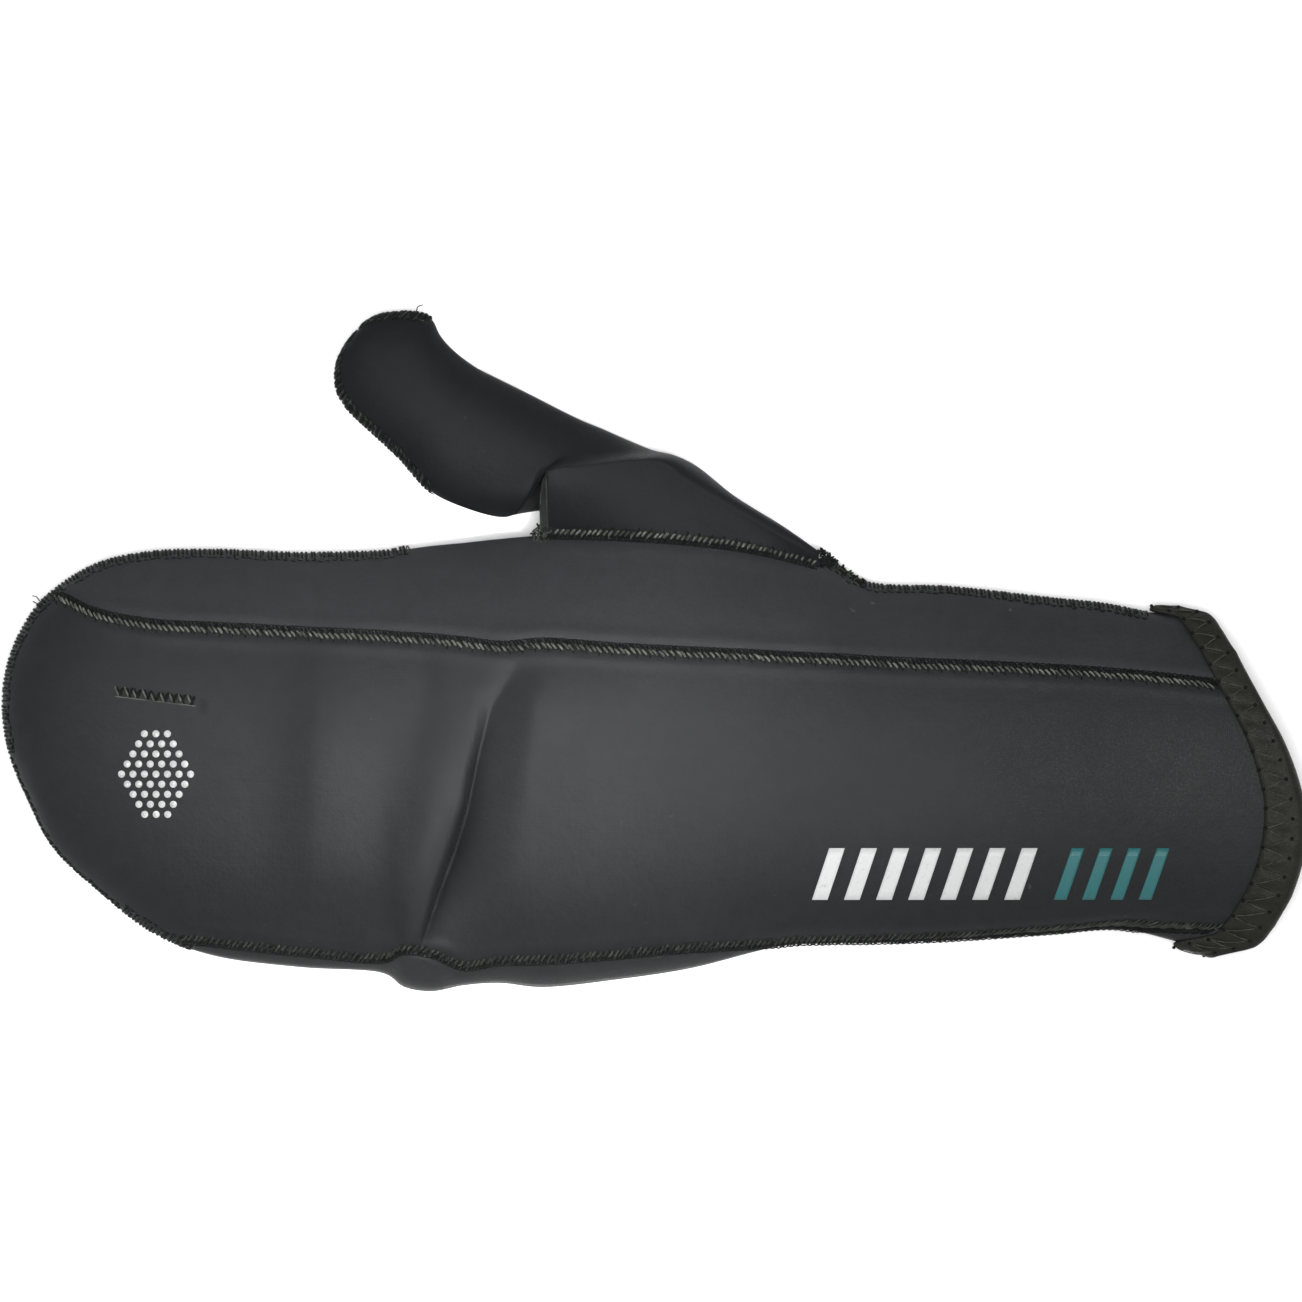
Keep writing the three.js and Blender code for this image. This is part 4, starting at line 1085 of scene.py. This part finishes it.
def jersey(name, colour, contrast=0.12, relief=0.3, dents=0.22, courses="X", gloss=0.124):
    """Knitted jersey laminated to foam: fine knit, heathered yarn, cloudy wear and a little lint."""
    material, tree, shader = new_material(name)
    place = object_place(tree)
    cloud = noise(tree, place, 26, detail=3)
    mottle = noise(tree, place, 240, detail=3, rough=0.65)
    yarn = noise(tree, place, 1900, rough=0.7)
    weave = knit(tree, place, courses)
    tone = weigh(tree, cloud, 0.45, mottle, 0.55)
    base = ramp(tree, tone, shade(colour, 1 - contrast), shade(colour, 1 + contrast), 0.36, 0.64)
    heather = ramp(tree, yarn, (0.82, 0.82, 0.84), (1.2, 1.19, 1.16), 0.34, 0.68)
    gaps = ramp(tree, weave, (0.94, 0.94, 0.95), (1.03, 1.03, 1.03), 0.05, 0.6)
    knitted = blend(tree, "MULTIPLY", 0.7, blend(tree, "MULTIPLY", 0.75, base, heather), gaps)
    lint = remap(tree, noise(tree, place, 420, detail=0), 0.86, 0.92, 0.0, 0.6)
    roughness = remap(tree, weigh(tree, cloud, 0.3, yarn, 0.7), 0.3, 0.7, 0.38, 0.68)
    soft = bump(tree, mottle, dents, 0.0007)
    set_inputs(tree, shader, {
        "Base Color": blend(tree, "MIX", lint, knitted, shade(colour, 3.2)),
        "Normal": bump(tree, weigh(tree, weave, 0.3, yarn, 1.0), relief, 0.00016, soft),
        "Roughness": roughness,
        "Specular IOR Level": gloss,
        "Sheen Weight": 0.01,
        "Sheen Roughness": 0.5,
        "Sheen Tint": (0.9, 0.94, 1.0),
    })
    return material


def foam_edge(name, colour):
    """The cut edge of the foam: fine closed cells, paler where it is rubbed."""
    material, tree, shader = new_material(name)
    place = object_place(tree)
    cells = node(tree, "ShaderNodeTexVoronoi", {"Vector": place, "Scale": 2600}).outputs["Distance"]
    rubbed = noise(tree, place, 180, detail=3)
    base = ramp(tree, rubbed, shade(colour, 0.75), shade(colour, 1.35), 0.35, 0.7)
    pits = grey_ramp(tree, cells, 0.65, 1.1, 0.05, 0.5)
    set_inputs(tree, shader, {
        "Base Color": blend(tree, "MULTIPLY", 0.8, base, pits),
        "Normal": bump(tree, cells, 0.5, 0.0002),
        "Roughness": 0.9,
        "Specular IOR Level": 0.2,
    })
    return material


def thread_material(name, colour, roughness=0.5):
    """Twisted sewing thread with worn and clean stretches."""
    material, tree, shader = new_material(name)
    place = object_place(tree)
    ply = wave(tree, place, "DIAGONAL", 700, 3.0)
    stretch = noise(tree, place, 420)
    base = ramp(tree, stretch, shade(colour, 0.4), shade(colour, 1.6), 0.32, 0.68)
    twist = grey_ramp(tree, ply, 0.6, 1.15, 0.1, 0.7)
    set_inputs(tree, shader, {
        "Base Color": blend(tree, "MULTIPLY", 0.7, base, twist),
        "Normal": bump(tree, ply, 0.5, 0.00012),
        "Roughness": roughness,
        "Specular IOR Level": 0.12,
    })
    return material


def ink(name, colour):
    """Printed ink that follows the knit, slightly worn."""
    material, tree, shader = new_material(name)
    place = object_place(tree)
    wear = noise(tree, place, 900, detail=4, rough=0.7)
    set_inputs(tree, shader, {
        "Base Color": ramp(tree, wear, shade(colour, 0.72), colour, 0.28, 0.42),
        "Normal": bump(tree, knit(tree, place), 0.3, 0.0001),
        "Roughness": 0.55,
    })
    return material


# Prints are thin slabs of ink on the top, in millimetres
INK_RISE = 0.1
INK_UNDER = -0.3
BAR_STEPS = 6
BAR_HEIGHT = 14.0
BAR_SLANT = 4.5
BARS_Y = -60.0
DOT_SIDES = 16
DOT_RADIUS = 0.95
DOT_PITCH = 3.1
DOTS_AT = (-132.4, -33.2)
DOTS_REACH = (10.6, 13.2)


def slab(x, y, faces, ring):
    """Points and faces of one shape of ink, from its places, its top faces and its outline."""
    count = x.size
    points = [on_top(x, y, rise).reshape(-1, 3) for rise in (INK_RISE, INK_UNDER)]
    under = [[v + count for v in reversed(face)] for face in faces]
    sides = [[q, p, p + count, q + count] for p, q in zip(ring, ring[1:] + ring[:1])]
    return np.concatenate(points), faces + under + sides


def printed_bar(x, width):
    """A slanted bar with enough faces to follow the cloth."""
    ticks = np.linspace(-0.5, 0.5, BAR_STEPS + 1)
    u, v = np.meshgrid(ticks, ticks, indexing="ij")
    ids = np.arange(u.size).reshape(u.shape)
    quads = np.stack([ids[:-1, :-1], ids[1:, :-1], ids[1:, 1:], ids[:-1, 1:]], axis=-1).reshape(-1, 4)
    ring = [*ids[:-1, 0], *ids[-1, :-1], *ids[:0:-1, -1], *ids[0, :0:-1]]
    return slab(x + u * width + v * BAR_SLANT, BARS_Y + v * BAR_HEIGHT, quads.tolist(), ring)


def printed_dot(x, y):
    turn = np.linspace(0, 2 * np.pi, DOT_SIDES, endpoint=False)
    ring = list(range(DOT_SIDES))
    return slab(x + DOT_RADIUS * np.cos(turn), y + DOT_RADIUS * np.sin(turn), [ring], ring)


def dot_patch():
    """An oval patch of dots in staggered rows."""
    dots = []
    for i in range(-4, 5):
        for j in range(-5, 6):
            x, y = DOT_PITCH * (i + 0.5 * (j % 2)), DOT_PITCH * 0.87 * j
            if (x / DOTS_REACH[0]) ** 2 + (y / DOTS_REACH[1]) ** 2 < 0.9:
                dots.append(printed_dot(DOTS_AT[0] + x, DOTS_AT[1] + y))
    return dots


def build_print(name, shapes):
    points, faces, count = [], [], 0
    for shape_points, shape_faces in shapes:
        points.append(shape_points)
        faces += [[v + count for v in face] for face in shape_faces]
        count += len(shape_points)
    return make_mesh(name, np.concatenate(points), faces)


def dress(piece, *materials):
    for material in materials:
        piece.data.materials.append(material)
    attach(piece, "root")


BACK_COLOUR = (0.0107, 0.0115, 0.0121)
# The side panel's jersey is given a lighter colour than the back's: painted sheen on its sloping flank
SIDE_PAINTED_SHEEN_COLOUR = (0.0165, 0.0174, 0.0190)
# The thumb is the same jersey as the back, given a darker colour: painted shade for the thumb lying lower and
# tilted away from the lamps
THUMB_PAINTED_SHADE_COLOUR = (0.0064, 0.0069, 0.0076)
# The palm panel's jersey is given a lighter colour than the back's: painted sheen and light on the strip that
# turns up at the little finger's side
PALM_PAINTED_SHEEN_COLOUR = (0.0150, 0.0157, 0.0162)
BINDING_COLOUR = (0.0108, 0.0108, 0.0082)
FOAM_COLOUR = (0.012, 0.0124, 0.012)
PALE_THREAD = (0.080, 0.086, 0.073)
MIDDLE_THREAD = (0.024, 0.0265, 0.0225)
DARK_THREAD = (0.0030, 0.0036, 0.0033)
BAND_THREAD = (0.036, 0.036, 0.029)
WHITE_INK = (0.40, 0.41, 0.405)
TEAL_INK = (0.004, 0.085, 0.090)

foam = foam_edge("foam_edge", FOAM_COLOUR)
band = jersey("stretch_binding", BINDING_COLOUR, contrast=0.25, relief=0.5, dents=0.7)
# The thumb's copy of the jersey is darker and less glossy: painted shade on the thumb
thumb_jersey = jersey("jersey_thumb_painted_shade", THUMB_PAINTED_SHADE_COLOUR, courses="Y", gloss=0.072)
for node_name, slot, piece, material in (
        ("back_panel", "jersey", build_back(), jersey("jersey_back", BACK_COLOUR)),
        ("side_panel", "jersey", build_side(), jersey("jersey_side_painted_sheen", SIDE_PAINTED_SHEEN_COLOUR)),
        ("palm_panel", "jersey", build_palm(), jersey("jersey_palm_painted_sheen", PALM_PAINTED_SHEEN_COLOUR)),
        ("thumb_panel", "jersey", build_thumb(), thumb_jersey),
        ("cuff_binding", "binding", build_binding(), band)):
    dress(piece, material, foam)
    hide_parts(node_name)

pale, middle, dark, light = Threads(), Threads(), Threads(), Threads()
sew(pale, middle, dark, light)
dress(pale.build("pale_stitches"), thread_material("pale_thread", PALE_THREAD))
dress(middle.build("grey_stitches"), thread_material("grey_thread", MIDDLE_THREAD))
dress(dark.build("dark_stitches"), thread_material("dark_thread", DARK_THREAD, roughness=0.7))
dress(light.build("band_zigzag"), thread_material("band_thread", BAND_THREAD))

white, teal = ink("white_ink", WHITE_INK), ink("teal_ink", TEAL_INK)
dress(build_print("finger_print", dot_patch()), white)
dress(build_print("cuff_print_white", [printed_bar(47.5 + 8.6 * i, 4.2) for i in range(7)]), white)
dress(build_print("cuff_print_teal", [printed_bar(112.0 + 7.6 * i, 3.4) for i in range(4)]), teal)

# Stage, in metres
FLOOR_REACH = 3.0
FLOOR_DROP = 0.0004
FLOOR_WHITE = 0.95
WORLD_STRENGTH = 0.7


def make_floor():
    mesh = bpy.data.meshes.new("floor")
    corners = [(x * FLOOR_REACH, y * FLOOR_REACH, 0) for x, y in ((-1, -1), (1, -1), (1, 1), (-1, 1))]
    mesh.from_pydata(corners, [], [(0, 1, 2, 3)])
    floor = bpy.data.objects.new("floor", mesh)
    floor.location.z = -FLOOR_DROP
    bpy.context.collection.objects.link(floor)
    material, tree, shader = new_material("pale_floor")
    set_inputs(tree, shader, {"Base Color": [FLOOR_WHITE] * 3, "Roughness": 0.9, "Specular IOR Level": 0.1})
    mesh.materials.append(material)


def add_lamp(name, location, aim, size, power, spread):
    light = bpy.data.lights.new(name, "AREA")
    light.shape = "DISK"
    light.size = size
    light.energy = power
    light.spread = math.radians(spread)
    lamp = bpy.data.objects.new(name, light)
    lamp.location = location
    lamp.rotation_euler = (Vector(aim) - Vector(location)).to_track_quat("-Z", "Y").to_euler()
    bpy.context.collection.objects.link(lamp)


make_floor()
add_lamp("key", (0.12, -0.14, 0.75), (-0.055, -0.024, 0), size=0.2, power=0.12, spread=16)
add_lamp("ceiling", (-0.03, -0.06, 1.5), (0, 0, 0), size=0.6, power=19.0, spread=180)
world = bpy.data.worlds.new("studio")
world.use_nodes = True
background = world.node_tree.nodes["Background"]
set_inputs(world.node_tree, background, {"Color": (1, 1, 1), "Strength": WORLD_STRENGTH})
bpy.context.scene.world = world
bpy.context.scene.view_settings.view_transform = "Standard"

# The photograph looks straight down: 1302 pixels, 0.27 mm to the pixel at the height of the sides
PIXEL = 0.00027
VIEW_WIDTH = 1302 * PIXEL
SIDE_HEIGHT = 0.006
CAMERA_HEIGHT = 1.6
camera_data = bpy.data.cameras.new("camera")
camera_data.sensor_width = 36
camera_data.lens = 36 * (CAMERA_HEIGHT - SIDE_HEIGHT) / VIEW_WIDTH
camera_data.clip_end = 20
camera = bpy.data.objects.new("camera", camera_data)
camera.location = (SHIFT[0] / 1000, SHIFT[1] / 1000 - PIXEL, CAMERA_HEIGHT)
bpy.context.collection.objects.link(camera)
bpy.context.scene.camera = camera
